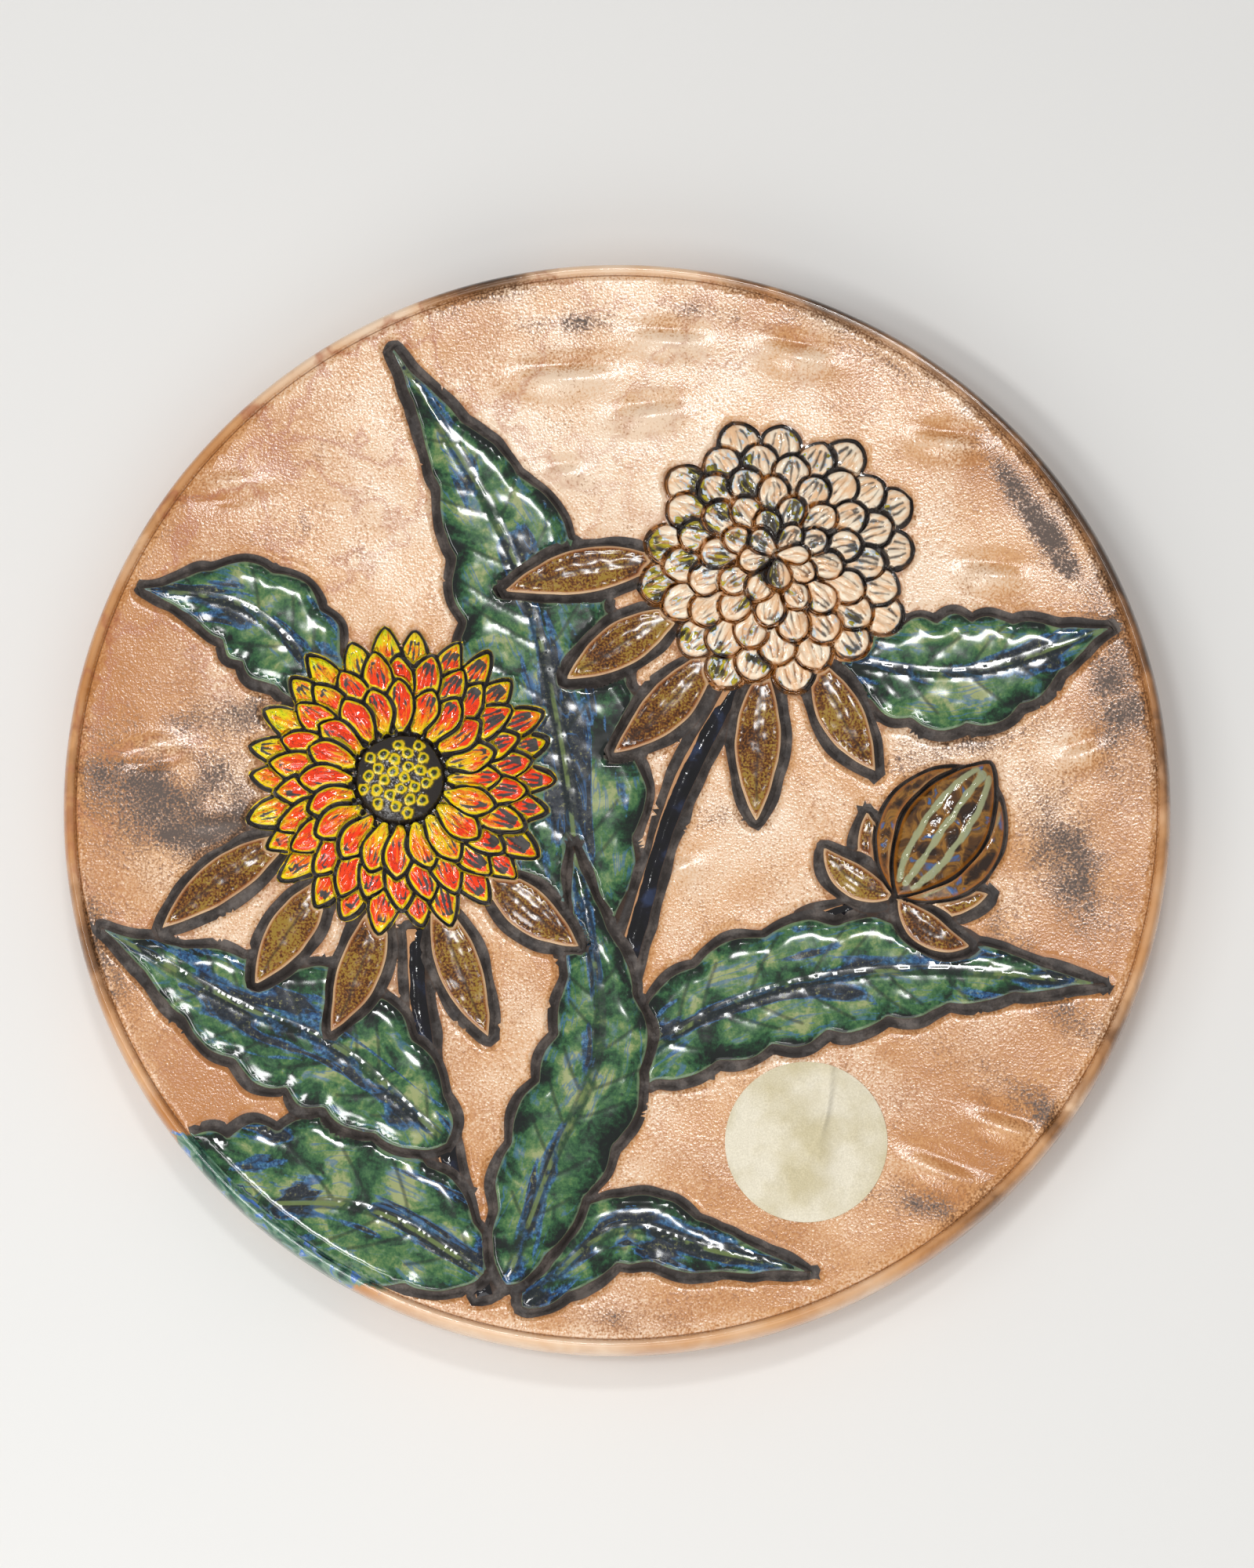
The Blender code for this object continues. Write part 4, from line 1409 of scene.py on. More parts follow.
@dataclass(frozen=True)
class GreenGlaze(Finish):
    """Thick glassy copper-green glaze: dark pools, olive where thin, blue runs and brown beside the rib."""

    name: str = "mottled_green_gloss_glaze"
    roughness: float = 0.12
    ior: float = 1.62
    line: str = "#0C1A14"
    rib: str = "#76884A"
    thin: str = "#8A9A78"
    run: str = "#37689A"

    def paint(self, add: AddNode, spot: NodeSocket) -> Sockets:
        """Mottled greens, brown patches with blue rims, blue beside the midrib, pale edges."""
        edge, across, crease = (
            add("Attribute", output="Fac", attribute_name=name) for name in ("edge", "across", "crease"))
        aside = add("Math", (across,), operation="ABSOLUTE")
        lane = self.lane(add, 0.22, 60.0)
        mottle = add("TexNoise", {"Vector": spot, "Scale": 1 / (10 * MM), "Detail": 5.0, "Roughness": 0.55,
                                  "Distortion": 0.8})
        fine = add("TexNoise", {"Vector": spot, "Scale": 1 / (1.1 * MM), "Detail": 3.0, "Roughness": 0.7})
        flow = add("TexNoise", {"Vector": lane, "Scale": 0.26, "Detail": 3.0, "Distortion": 0.8})
        patch = add("TexNoise", {"Vector": lane, "Scale": 0.11, "Detail": 4.0, "Distortion": 1.2})
        pooled = add("MapRange", (edge, 0.8, 4.5, -0.10, 0.02))
        tone = add("Math", (fine, 0.30, mottle), operation="MULTIPLY_ADD")
        tone = add("Math", (tone, pooled), operation="ADD")
        colour = add("ValToRGB", (tone,), stops=[
            (0.46, "#04100A"), (0.53, "#12331C"), (0.59, "#265331"), (0.66, "#447040"), (0.73, "#6C8850"),
            (0.81, "#9CA46E")])
        near_rib = add("MapRange", (aside, 1.0, 8.0, 0.08, -0.08))
        patchy = add("Math", (patch, near_rib), operation="ADD")
        patchy = add("Math", (fine, 0.06, patchy), operation="MULTIPLY_ADD")
        blue = add("MapRange", (patchy, 0.555, 0.59, 0.0, 0.85), **EASED)
        brown = add("MapRange", (patchy, 0.60, 0.63, 0.0, 0.92), **EASED)
        shade = add("ValToRGB", (fine,), stops=[(0.36, "#12284A"), (0.52, "#28588C"), (0.64, "#5488B4")])
        dark = add("ValToRGB", (fine,), stops=[
            (0.40, "#0D1016"), (0.52, "#1F2226"), (0.60, "#3A3320"), (0.70, "#8C8A4E")])
        level = add("Math", (flow, 0.5), operation="SUBTRACT")
        level = add("Math", (level,), operation="ABSOLUTE")
        run = add("MapRange", (level, 0.005, 0.04, 0.6, 0.0), **EASED)
        gate = add("MapRange", (mottle, 0.49, 0.57))
        run = add("Math", (run, gate), operation="MULTIPLY")
        width = add("MapRange", (mottle, 0.42, 0.62, 0.2, 1.2))
        pale = add("Math", (edge, width), operation="DIVIDE")
        pale = add("MapRange", (pale, 0.3, 1.0, 0.45, 0.0), **EASED)
        cut = add("MapRange", (crease, 0.1, 0.8, 0.6, 0.0), **EASED)
        rib = add("MapRange", (aside, 0.35, 0.8, 0.7, 0.0), **EASED)
        rib = add("Math", (rib, gate), operation="MULTIPLY")
        pool = add("TexNoise", {"Vector": spot, "Scale": 1 / (5 * MM), "Detail": 1.0})
        normal = add("Bump", {"Height": pool, "Distance": 0.07 * MM})
        colour = lay_over(add, colour, (blue, shade), (brown, dark), (run, self.run), (pale, self.thin),
                          (cut, self.line), (rib, self.rib))
        return {"Base Color": colour, "Normal": normal}


@dataclass(frozen=True)
class BlackGlaze(Finish):
    """Glossy black glaze with a blue cast where it lies thin."""

    name: str = "black_gloss_glaze"
    roughness: float = 0.10
    ior: float = 1.55
    edge: str = "#C79468"

    def paint(self, add: AddNode, spot: NodeSocket) -> Sockets:
        """Near black, streaked with blue and a peach line at one side."""
        across = add("Attribute", output="Fac", attribute_name="across")
        noise = add("TexNoise", {"Vector": spot, "Scale": 1 / (6 * MM), "Detail": 4.0})
        colour = add("ValToRGB", (noise,), stops=[(0.40, "#0B0A0C"), (0.55, "#13121A"), (0.68, "#2A3550")])
        side = add("Math", (noise, 1.6, across), operation="MULTIPLY_ADD")
        side = add("MapRange", (side, 2.55, 2.75))
        colour = add("Mix", (side, colour, self.edge), data_type="RGBA")
        normal = add("Bump", {"Height": noise, "Distance": 0.3 * MM})
        return {"Base Color": colour, "Normal": normal}


@dataclass(frozen=True)
class OrangeGlaze(Finish):
    """Thick cadmium-red and yellow gloss glazes run into each other, thin and yellow on the ridges."""

    name: str = "orange_yellow_gloss_glaze"
    roughness: float = 0.07
    ior: float = 1.6
    clay: str = "#3E3835"
    crackle: str = "#4A1404"
    yellow: str = "#FFE600"

    def paint(self, add: AddNode, spot: NodeSocket) -> Sockets:
        """Red-orange that turns yellow outwards and on ridges, with clay showing in the creases, more of it
        towards the outer petals and, as painted shade, towards the right.
        """
        share, right, upward, edge, crease, tint = (
            add("Attribute", output="Fac", attribute_name=name)
            for name in ("share", "right", "up", "edge", "crease", "tint"))
        lane = self.lane(add, 0.30)
        streak = add("TexNoise", {"Vector": lane, "Scale": 0.8, "Detail": 3.0, "Roughness": 0.6,
                                  "Distortion": 0.5})
        runs = add("TexNoise", {"Vector": spot, "Scale": 1 / (5 * MM), "Detail": 3.0})
        corner = add("Math", (upward, right), operation="SUBTRACT")
        tone = add("Math", (streak, 0.9, share), operation="MULTIPLY_ADD")
        tone = add("Math", (corner, 0.13, tone), operation="MULTIPLY_ADD")
        tone = add("Math", (tint, 0.16, tone), operation="MULTIPLY_ADD")
        colour = add("ValToRGB", (add("MapRange", (tone, 0.6, 1.8)),), stops=[
            (0.08, "#E4D000"), (0.20, "#FFC400"), (0.30, "#FF7A00"), (0.38, "#FF3800"), (0.62, "#FF4200"),
            (0.73, "#FF8A00"), (0.83, "#FFDC00"), (0.95, "#D8E000"), (1.0, "#86A400")])
        thin = add("Math", (runs, -2.6, edge), operation="MULTIPLY_ADD")
        thin = add("MapRange", (thin, -1.10, -0.70, 0.9, 0.0), **EASED)
        speck = add("TexNoise", {"Vector": lane, "Scale": 0.9, "Detail": 3.0, "Distortion": 0.8})
        level = add("Math", (speck, 0.47), operation="SUBTRACT")
        level = add("Math", (level,), operation="ABSOLUTE")
        crack = add("MapRange", (level, 0.004, 0.018, 0.8, 0.0))
        # More dark clay towards the outer petals, and towards the right of the bloom, away from the key
        # light, as painted shade
        clay_and_shaded_side = add("Math", (right, 0.5, share), operation="MULTIPLY_ADD")
        clay_and_shaded_side = add("MapRange", (clay_and_shaded_side, 0.4, 1.5, -0.25, 0.40))
        gap = add("Math", (runs, -2.6, crease), operation="MULTIPLY_ADD")
        gap = add("Math", (gap, clay_and_shaded_side), operation="SUBTRACT")
        gap = add("MapRange", (gap, -1.24, -1.02, 1.0, 0.0))
        trench = add("Math", (runs, -1.2, edge), operation="MULTIPLY_ADD")
        trench = add("MapRange", (trench, -0.72, -0.60, 1.0, 0.0))
        under = add("MapRange", (edge, -0.12, 0.0, 1.0, 0.0))
        trench = add("Math", (trench, under), operation="MULTIPLY")
        gap = add("Math", (gap, trench), operation="MAXIMUM")
        gloss = add("Mix", (gap, self.roughness, 0.6))
        ridge = add("TexNoise", {"Vector": lane, "Scale": 0.55, "Detail": 0.0})
        normal = add("Bump", {"Height": ridge, "Distance": 1.15 * MM})
        colour = lay_over(add, colour, (thin, self.yellow), (crack, self.crackle), (gap, self.clay))
        return {"Base Color": colour, "Roughness": gloss, "Normal": normal}


@dataclass(frozen=True)
class SeedGlaze(Finish):
    """Dark glossy seeds, each with a ring of yellow glaze caught round it."""

    name: str = "dark_seed_gloss_glaze"
    roughness: float = 0.12
    ior: float = 1.56

    def paint(self, add: AddNode, spot: NodeSocket) -> Sockets:
        """Rings of colour by the distance from each seed's middle."""
        crease = add("Attribute", output="Fac", attribute_name="crease")
        noise = add("TexNoise", {"Vector": spot, "Scale": 1 / (1.6 * MM), "Detail": 3.0})
        ring = add("Math", (noise, 1.6, crease), operation="MULTIPLY_ADD")
        ring = add("MapRange", (ring, 0.6, 2.9))
        colour = add("ValToRGB", (ring,), stops=[
            (0.15, "#2A240C"), (0.36, "#3E3A0C"), (0.44, "#8A9A08"), (0.52, "#E8C800"), (0.68, "#F0CE00"),
            (0.78, "#6A5A10"), (0.9, "#2A2420")])
        normal = add("Bump", {"Height": noise, "Distance": 0.3 * MM})
        return {"Base Color": colour, "Normal": normal}


@dataclass(frozen=True)
class CreamGlaze(Finish):
    """Creamy peach gloss glaze, brown in the creases, with olive pools ringed in pale blue."""

    name: str = "cream_gloss_glaze"
    roughness: float = 0.07
    ior: float = 1.6
    cream: str = "#FFEDD2"
    peach: str = "#F0C498"
    amber: str = "#B4702A"
    halo: str = "#C6DCEC"
    olive: str = "#8A7E10"
    shade_charcoal: str = "#413A36"

    def paint(self, add: AddNode, spot: NodeSocket) -> Sockets:
        """Cream ridges, brown creases that turn charcoal towards the upper right as painted shade, amber
        low in the bloom and olive pools at its left.
        """
        right, upward, edge, crease = (
            add("Attribute", output="Fac", attribute_name=name)
            for name in ("right", "up", "edge", "crease"))
        lane = self.lane(add, 0.35)
        streak = add("TexNoise", {"Vector": lane, "Scale": 0.7, "Detail": 3.0, "Distortion": 0.4})
        runs = add("TexNoise", {"Vector": spot, "Scale": 1 / (6 * MM), "Detail": 3.0})
        tone = add("MapRange", (streak, 0.40, 0.60))
        colour = add("Mix", (tone, self.cream, self.peach), data_type="RGBA")
        shade = add("ValToRGB", (streak,), stops=[(0.42, "#2A2408"), (0.50, self.olive), (0.60, "#C0AC20")])
        wet = add("Math", (right, -0.11, runs), operation="MULTIPLY_ADD")
        wet = add("Math", (streak, 0.35, wet), operation="MULTIPLY_ADD")
        ringed = add("MapRange", (wet, 0.725, 0.755, 0.0, 0.9))
        olive = add("MapRange", (wet, 0.765, 0.785))
        # Upper right of the bloom, away from the key light, where the creases below turn charcoal: painted
        # shade
        clay_and_shaded_side = add("Math", (right, upward), operation="ADD")
        clay_and_shaded_side = add("MapRange", (clay_and_shaded_side, -0.2, 1.4))
        depth = add("Math", (runs, -2.2, crease), operation="MULTIPLY_ADD")
        near_crease = add("MapRange", (depth, -1.10, -0.60, 0.9, 0.0))
        trench = add("Math", (runs, -1.4, edge), operation="MULTIPLY_ADD")
        trench = add("MapRange", (trench, -0.80, -0.45, 1.0, 0.0))
        trench = add("Math", (trench, near_crease), operation="MAXIMUM")
        shade_charcoal = add("Math", (clay_and_shaded_side, 0.28, runs), operation="MULTIPLY_ADD")
        shade_charcoal = add("MapRange", (shade_charcoal, 0.52, 0.62))
        burnt = add("ValToRGB", (streak,), stops=[(0.40, "#3A2210"), (0.52, self.amber), (0.64, "#D9A87A")])
        burnt = add("Mix", (shade_charcoal, burnt, self.shade_charcoal), data_type="RGBA")
        ridge = add("TexNoise", {"Vector": lane, "Scale": 0.55, "Detail": 0.0})
        normal = add("Bump", {"Height": ridge, "Distance": 1.15 * MM})
        colour = lay_over(add, colour, (ringed, self.halo), (olive, shade), (trench, burnt))
        return {"Base Color": colour, "Normal": normal}


@dataclass(frozen=True)
class BrownGlaze(Finish):
    """Speckled iron-brown glaze, satin, that breaks to orange on the raised margin, with a cream painted
    highlight along its lip.
    """

    name: str = "speckled_iron_brown_glaze"
    roughness: float = 0.15
    ior: float = 1.52
    glow: str = "#A65A20"
    lip: str = "#E8C79C"
    fold: str = "#38220F"

    def paint(self, add: AddNode, spot: NodeSocket) -> Sockets:
        """Fine olive and brown grains, an orange margin, and a cream painted highlight along the lip."""
        edge, crease, tint = (
            add("Attribute", output="Fac", attribute_name=name) for name in ("edge", "crease", "tint"))
        grain = add("TexNoise", {"Vector": spot, "Scale": 1 / (0.6 * MM)})
        cloud = add("TexNoise", {"Vector": spot, "Scale": 1 / (8 * MM), "Detail": 3.0})
        tone = add("Math", (cloud, 0.7, grain), operation="MULTIPLY_ADD")
        tone = add("Math", (tint, 0.08, tone), operation="MULTIPLY_ADD")
        colour = add("ValToRGB", (tone,), stops=[
            (0.70, "#3A1E06"), (0.82, "#65380E"), (0.92, "#85541A"), (1.0, "#9C7C2E")])
        glow = add("MapRange", (edge, 0.2, 1.3, 0.8, 0.0), **EASED)
        # Cream along the raised lip: a painted highlight
        lip = add("MapRange", (edge, 0.2, 0.75, 1.3, 0.0))
        lip = add("Math", (lip, cloud), operation="MULTIPLY")
        fold = add("MapRange", (crease, 0.1, 0.6, 0.7, 0.0))
        swell = add("TexNoise", {"Vector": spot, "Scale": 1 / (3 * MM), "Detail": 0.0})
        normal = add("Bump", {"Height": swell, "Distance": 0.15 * MM})
        colour = lay_over(add, colour, (glow, self.glow), (lip, self.lip), (fold, self.fold))
        return {"Base Color": colour, "Normal": normal}


@dataclass(frozen=True)
class AmberGlaze(Finish):
    """Clear amber gloss glaze, dark where deep, with pale sage ribs and a blue cast."""

    name: str = "amber_gloss_glaze"
    roughness: float = 0.09
    ior: float = 1.62
    rib: str = "#A3A77E"
    lip: str = "#A86626"

    def paint(self, add: AddNode, spot: NodeSocket) -> Sockets:
        """Amber and dark brown between sage ribs."""
        edge, crease = (
            add("Attribute", output="Fac", attribute_name=name) for name in ("edge", "crease"))
        noise = add("TexNoise", {"Vector": spot, "Scale": 1 / (5 * MM), "Detail": 4.0, "Distortion": 0.7})
        colour = add("ValToRGB", (noise,), stops=[
            (0.36, "#2A1808"), (0.46, "#5A3812"), (0.54, "#9A6A26"), (0.60, "#6A4A20"), (0.66, "#3E649A")])
        rib = add("Math", (noise, -1.6, crease), operation="MULTIPLY_ADD")
        rib = add("MapRange", (rib, -0.15, 0.3, 0.9, 0.0), **EASED)
        lip = add("MapRange", (edge, 0.2, 1.0, 0.8, 0.0))
        normal = add("Bump", {"Height": noise, "Distance": 0.35 * MM})
        colour = lay_over(add, colour, (rib, self.rib), (lip, self.lip))
        return {"Base Color": colour, "Normal": normal}


@dataclass(frozen=True)
class BackGlaze(Finish):
    """Thin brown wash over the back, satin and speckled, plainer than the face."""

    name: str = "thin_brown_stoneware_wash"
    roughness: float = 0.45
    ior: float = 1.5

    def paint(self, add: AddNode, spot: NodeSocket) -> Sockets:
        """Brown clouds with dark and pale grains."""
        grain = add("TexNoise", {"Vector": spot, "Scale": 1 / (0.8 * MM)})
        cloud = add("TexNoise", {"Vector": spot, "Scale": 1 / (30 * MM), "Detail": 5.0})
        tone = add("Math", (cloud, 0.9, grain), operation="MULTIPLY_ADD")
        colour = add("ValToRGB", (tone,), stops=[(0.72, "#5A3A22"), (0.88, "#8A5E3A"), (1.0, "#B08458")])
        normal = add("Bump", {"Height": grain, "Distance": 0.08 * MM})
        return {"Base Color": colour, "Normal": normal}


@dataclass(frozen=True)
class BareFoot(Finish):
    """Unglazed buff stoneware of the foot ring, ground flat after firing."""

    name: str = "bare_buff_stoneware"
    roughness: float = 0.85
    ior: float = 1.45
    speck: str = "#4A3222"

    def paint(self, add: AddNode, spot: NodeSocket) -> Sockets:
        """Buff clay with iron specks."""
        grain = add("TexNoise", {"Vector": spot, "Scale": 1 / (0.7 * MM), "Detail": 4.0})
        speck = add("TexVoronoi", {"Vector": spot, "Scale": 1 / (3 * MM)})
        colour = add("ValToRGB", (grain,), stops=[(0.35, "#8F7358"), (0.55, "#B39676"), (0.7, "#C9AF90")])
        dark = add("MapRange", (speck, 0.06, 0.12, 0.8, 0.0))
        colour = add("Mix", (dark, colour, self.speck), data_type="RGBA")
        normal = add("Bump", {"Height": grain, "Distance": 0.12 * MM})
        return {"Base Color": colour, "Normal": normal}


@dataclass(frozen=True)
class ChampagneFoil(Finish):
    """Embossing foil, pale gold on paper: a metal with faint rolling marks and soft dents."""

    name: str = "champagne_gold_foil"
    metallic: float = 1.0
    light: str = "#D6CFBC"
    deep: str = "#C2B899"

    def paint(self, add: AddNode, spot: NodeSocket) -> Sockets:
        """Pale gold with a slightly deeper edge, finely uneven."""
        cloud = add("TexNoise", {"Vector": spot, "Scale": 1 / (12 * MM), "Detail": 3.0})
        grain = add("TexNoise", {"Vector": spot, "Scale": 1 / (0.4 * MM)})
        tone = add("MapRange", (cloud, 0.35, 0.65))
        colour = add("Mix", (tone, self.light, self.deep), data_type="RGBA")
        gloss = add("MapRange", (grain, 0.3, 0.7, 0.5, 0.6))
        normal = add("Bump", {"Height": cloud, "Distance": 0.25 * MM})
        return {"Base Color": colour, "Roughness": gloss, "Normal": normal}


FINISHES: dict[Zone, Finish] = {
    Zone.GROUND: PeachGlaze(),
    Zone.CLAY: CharcoalClay(),
    Zone.LEAF: GreenGlaze(),
    Zone.STEM: BlackGlaze(),
    Zone.RAYED: OrangeGlaze(),
    Zone.SEED: SeedGlaze(),
    Zone.SCALED: CreamGlaze(),
    Zone.SEPAL: BrownGlaze(),
    Zone.BUD: AmberGlaze(),
    Zone.BACK: BackGlaze(),
    Zone.FOOT: BareFoot(),
}


def select_only(*objects: Object) -> None:
    """Select these objects and nothing else, the last one active."""
    bpy.ops.object.select_all(action="DESELECT")
    for one in objects:
        one.select_set(True)
        bpy.context.view_layer.objects.active = one


def stand_up(piece: Object) -> None:
    """Turn a piece from the flat layout upright, with its place kept in its mesh."""
    select_only(piece)
    piece.rotation_euler = (math.pi / 2, 0, 0)
    piece.location = (0, 0, -FOOT_MIDDLE_RADIUS)
    bpy.ops.object.transform_apply(location=True, rotation=True, scale=True)


@dataclass
class Plate:
    """The ceramic plate: turned rim, back and foot ring, and the carved face."""

    relief: Relief
    rim_rise: float = 1.3 * MM
    crest_inset: float = 2.1 * MM
    line_depth: float = 0.5 * MM
    shoulder_drop: float = 4.5 * MM
    edge_rounding: float = 4.2 * MM
    foot_rounding: float = 1.2 * MM
    rim_steps: tuple[int, int] = (6, 8)
    edge_steps: int = 5
    foot_steps: int = 3
    hole_radius: float = 1.6 * MM
    hole_spacing: float = 28 * MM
    hole_sides: int = 28
    rim_wobble: float = 0.10 * MM
    smooth_below: float = 62.0
    rim_drift: Drift = Drift(11 * MM, 31)

    def quarter(self, start: Pair, end: Pair, steps: int, sideways_first: bool) -> list[Pair]:
        """Points of a quarter ellipse after start, up to end.

        Args:
            start: Radius and height where it starts.
            end: Radius and height where it ends.
            steps: Number of points.
            sideways_first: Whether it leaves the start level.

        Returns:
            The points.
        """
        points = []
        for step in range(1, steps + 1):
            turn = math.pi / 2 * step / steps
            first, second = math.sin(turn), 1 - math.cos(turn)
            if not sideways_first:
                first, second = second, first
            points.append((start[0] + (end[0] - start[0]) * first, start[1] + (end[1] - start[1]) * second))
        return points

    def profile(self) -> list[Pair]:
        """Radius and height from the field's edge over the rim and round the foot ring to the middle."""
        edge = float(field_height(FIELD_RADIUS))
        crest = (PLATE_RADIUS - self.crest_inset, edge + self.rim_rise)
        rim_foot = (FIELD_RADIUS + LINE_WIDTH / 2, edge)
        shoulder = (PLATE_RADIUS, edge - self.shoulder_drop)
        wall_foot = (PLATE_RADIUS, FOOT_HEIGHT + self.edge_rounding)
        underside = (PLATE_RADIUS - self.edge_rounding, FOOT_HEIGHT)
        rounding = self.foot_rounding
        outer, inner = FOOT_OUTER_RADIUS, FOOT_OUTER_RADIUS - FOOT_WIDTH
        points = [(FACE_RADIUS, float(field_height(FACE_RADIUS))), (FIELD_RADIUS, edge - self.line_depth)]
        points += [rim_foot, *self.quarter(rim_foot, crest, self.rim_steps[0], False)]
        points += self.quarter(crest, shoulder, self.rim_steps[1], True)
        points += [((shoulder[0] + wall_foot[0]) / 2, (shoulder[1] + wall_foot[1]) / 2), wall_foot]
        points += self.quarter(wall_foot, underside, self.edge_steps, False)
        points += [(underside[0] + share * (outer - underside[0]), FOOT_HEIGHT) for share in (0.33, 0.66)]
        for start, end, sideways_first in (
                ((outer + rounding, FOOT_HEIGHT), (outer, FOOT_HEIGHT - rounding), True),
                ((outer, rounding), (outer - rounding, 0), False),
                ((inner + rounding, 0), (inner, rounding), True),
                ((inner, FOOT_HEIGHT - rounding), (inner - rounding, FOOT_HEIGHT), False)):
            points += [start, *self.quarter(start, end, self.foot_steps, sideways_first)]
        return points + [(inner * 0.5, FOOT_HEIGHT)]

    def turned_body(self) -> Object:
        """Rim, wall, underside and foot ring, drawn out ring by ring, with the wire holes cut."""
        profile = self.profile()
        sides = self.relief.ring_sides
        select_only()
        radius, height = profile[0]
        bpy.ops.mesh.primitive_circle_add(vertices=sides, radius=radius, location=(0, 0, height))
        body = bpy.context.object
        body.name = "plate_body"
        bpy.ops.object.transform_apply(location=True, rotation=True, scale=True)
        bpy.ops.object.mode_set(mode="EDIT")
        bpy.ops.mesh.select_all(action="SELECT")
        bpy.ops.mesh.edge_face_add()
        bpy.ops.mesh.select_mode(type="EDGE")
        bpy.ops.mesh.select_all(action="SELECT")
        for (radius, height), (next_radius, next_height) in zip(profile[:-1], profile[1:]):
            size = next_radius / radius
            bpy.ops.mesh.extrude_edges_move(TRANSFORM_OT_translate={"value": (0, 0, next_height - height)})
            bpy.ops.transform.resize(value=(size, size, 1), center_override=(0, 0, 0))
        bpy.ops.mesh.edge_face_add()
        turn_outwards()
        for side in (-1, 1):
            self.cut_wire_hole(body, side)
        select_only(body)
        bpy.context.tool_settings.mesh_select_mode = (False, False, True)
        for face in body.data.polygons:
            face.select = face.normal.z > 0.99 and len(face.vertices) == sides
        bpy.ops.object.mode_set(mode="EDIT")
        bpy.ops.mesh.delete(type="ONLY_FACE")
        bpy.ops.object.mode_set(mode="OBJECT")
        return body

    def cut_wire_hole(self, body: Object, side: int) -> None:
        """Drill one hole for the hanging wire, radial through the foot ring.

        Args:
            body: The turned body.
            side: Side of the plate's middle, -1 or 1.
        """
        turn = side * self.hole_spacing / 2 / FOOT_MIDDLE_RADIUS
        spot = (FOOT_MIDDLE_RADIUS * math.sin(turn), FOOT_MIDDLE_RADIUS * math.cos(turn), FOOT_HEIGHT / 2)
        select_only()
        bpy.ops.mesh.primitive_cylinder_add(
            vertices=self.hole_sides, radius=self.hole_radius, depth=2 * FOOT_WIDTH, location=spot,
            rotation=(math.pi / 2, 0, -turn))
        drill = bpy.context.object
        select_only(body)
        cut = body.modifiers.new("wire hole", "BOOLEAN")
        cut.operation = "DIFFERENCE"
        cut.object = drill
        bpy.ops.object.modifier_apply(modifier=cut.name)
        bpy.data.objects.remove(drill)

    def body_zones(self, body: Object, materials: list[Material]) -> None:
        """Give each face of the turned body its zone, and its points their pattern coordinates.

        Args:
            body: The turned body.
            materials: The finishes, in the order of the zones.
        """
        mesh = body.data
        for material in materials:
            mesh.materials.append(material)
        for face in mesh.polygons:
            x, y, height = face.center
            radius = math.hypot(x, y)
            if height < FOOT_HEIGHT - 2 * self.foot_rounding and radius < FOOT_OUTER_RADIUS + 2 * MM:
                face.material_index = Zone.FOOT.value
            elif height < FOOT_HEIGHT + 0.4 * MM:
                face.material_index = Zone.BACK.value
            else:
                face.material_index = Zone.GROUND.value
        store(mesh, "edge", np.full(len(mesh.vertices), FAR))

    def wobble_rim(self, body: Object) -> None:
        """Press the rim in by the small unevenness of hand finishing, never beyond its true size.

        Args:
            body: The turned body, changed in place.
        """
        spots = places_of(body.data)
        radius = length_of(spots[:, :2])
        on_rim = radius > FIELD_RADIUS + 0.6 * LINE_WIDTH
        on_rim &= spots[:, 2] > FOOT_HEIGHT + self.edge_rounding
        drift = 0.5 + 0.5 * self.rim_drift.at(spots[:, :2].astype(float))
        spots[on_rim, :2] *= (1 - self.rim_wobble * drift / radius)[on_rim, None]
        spots[on_rim, 2] -= (self.rim_wobble * (1 - drift))[on_rim]
        body.data.vertices.foreach_set("co", spots.ravel())

    def mark_firing_and_painted_light(self, piece: Object) -> None:
        """Store the kiln's marks with the painted light laid into them, and the leaf glaze that ran over
        the rim, at every point.

        Args:
            piece: The whole plate, still flat.
        """
        flat = places_of(piece.data)[:, :2].astype(float)
        radius = length_of(flat)
        ground = self.relief.ground
        degrees = np.degrees(np.arctan2(flat[:, 1], flat[:, 0]))
        upper_left = np.clip(np.cos(np.radians(degrees - 140)), 0, 1) * np.clip(radius / FIELD_RADIUS, 0, 1)
        over = np.zeros(len(flat))
        for figure in self.relief.figures:
            reach = length_of(figure.outline).max()
            if figure.zone is Zone.LEAF and reach > FIELD_RADIUS:
                rim = radius > FACE_RADIUS - 2 * MM
                inside = signed_distance(flat[rim], figure.outline)
                over[rim] = np.maximum(over[rim], np.clip(0.5 + inside / (8 * MM), 0, 1))
        # The orange-brown share holds painted light as well: the painted glare and the finger marks'
        # painted highlight and shade
        values = {"soot": ground.soot_at(flat), "rust": ground.rust_and_painted_light_at(flat), "veins": upper_left,
                  "runover": over, "rim": np.clip((radius - FIELD_RADIUS) / LINE_WIDTH, 0, 1),
                  "line": np.clip(1 - np.abs(radius - FIELD_RADIUS) / (LINE_WIDTH / 2), 0, 1)}
        for name, value in values.items():
            store(piece.data, name, value)

    def build(self) -> Object:
        """The whole plate as one closed mesh, upright, with its finishes."""
        materials = [FINISHES[zone].material() for zone in Zone]
        face = self.relief.face_mesh(materials)
        body = self.turned_body()
        self.body_zones(body, materials)
        self.wobble_rim(body)
        select_only(body, face)
        bpy.ops.object.join()
        plate = bpy.context.object
        plate.name = "relief_plate"
        turn_outwards(weld=True)
        self.mark_firing_and_painted_light(plate)
        stand_up(plate)
        bpy.ops.object.shade_smooth_by_angle(angle=math.radians(self.smooth_below))
        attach(plate, "root")
        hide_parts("plate")
        LOG.info("plate: %d faces, %d points", len(plate.data.polygons), len(plate.data.vertices))
        return plate


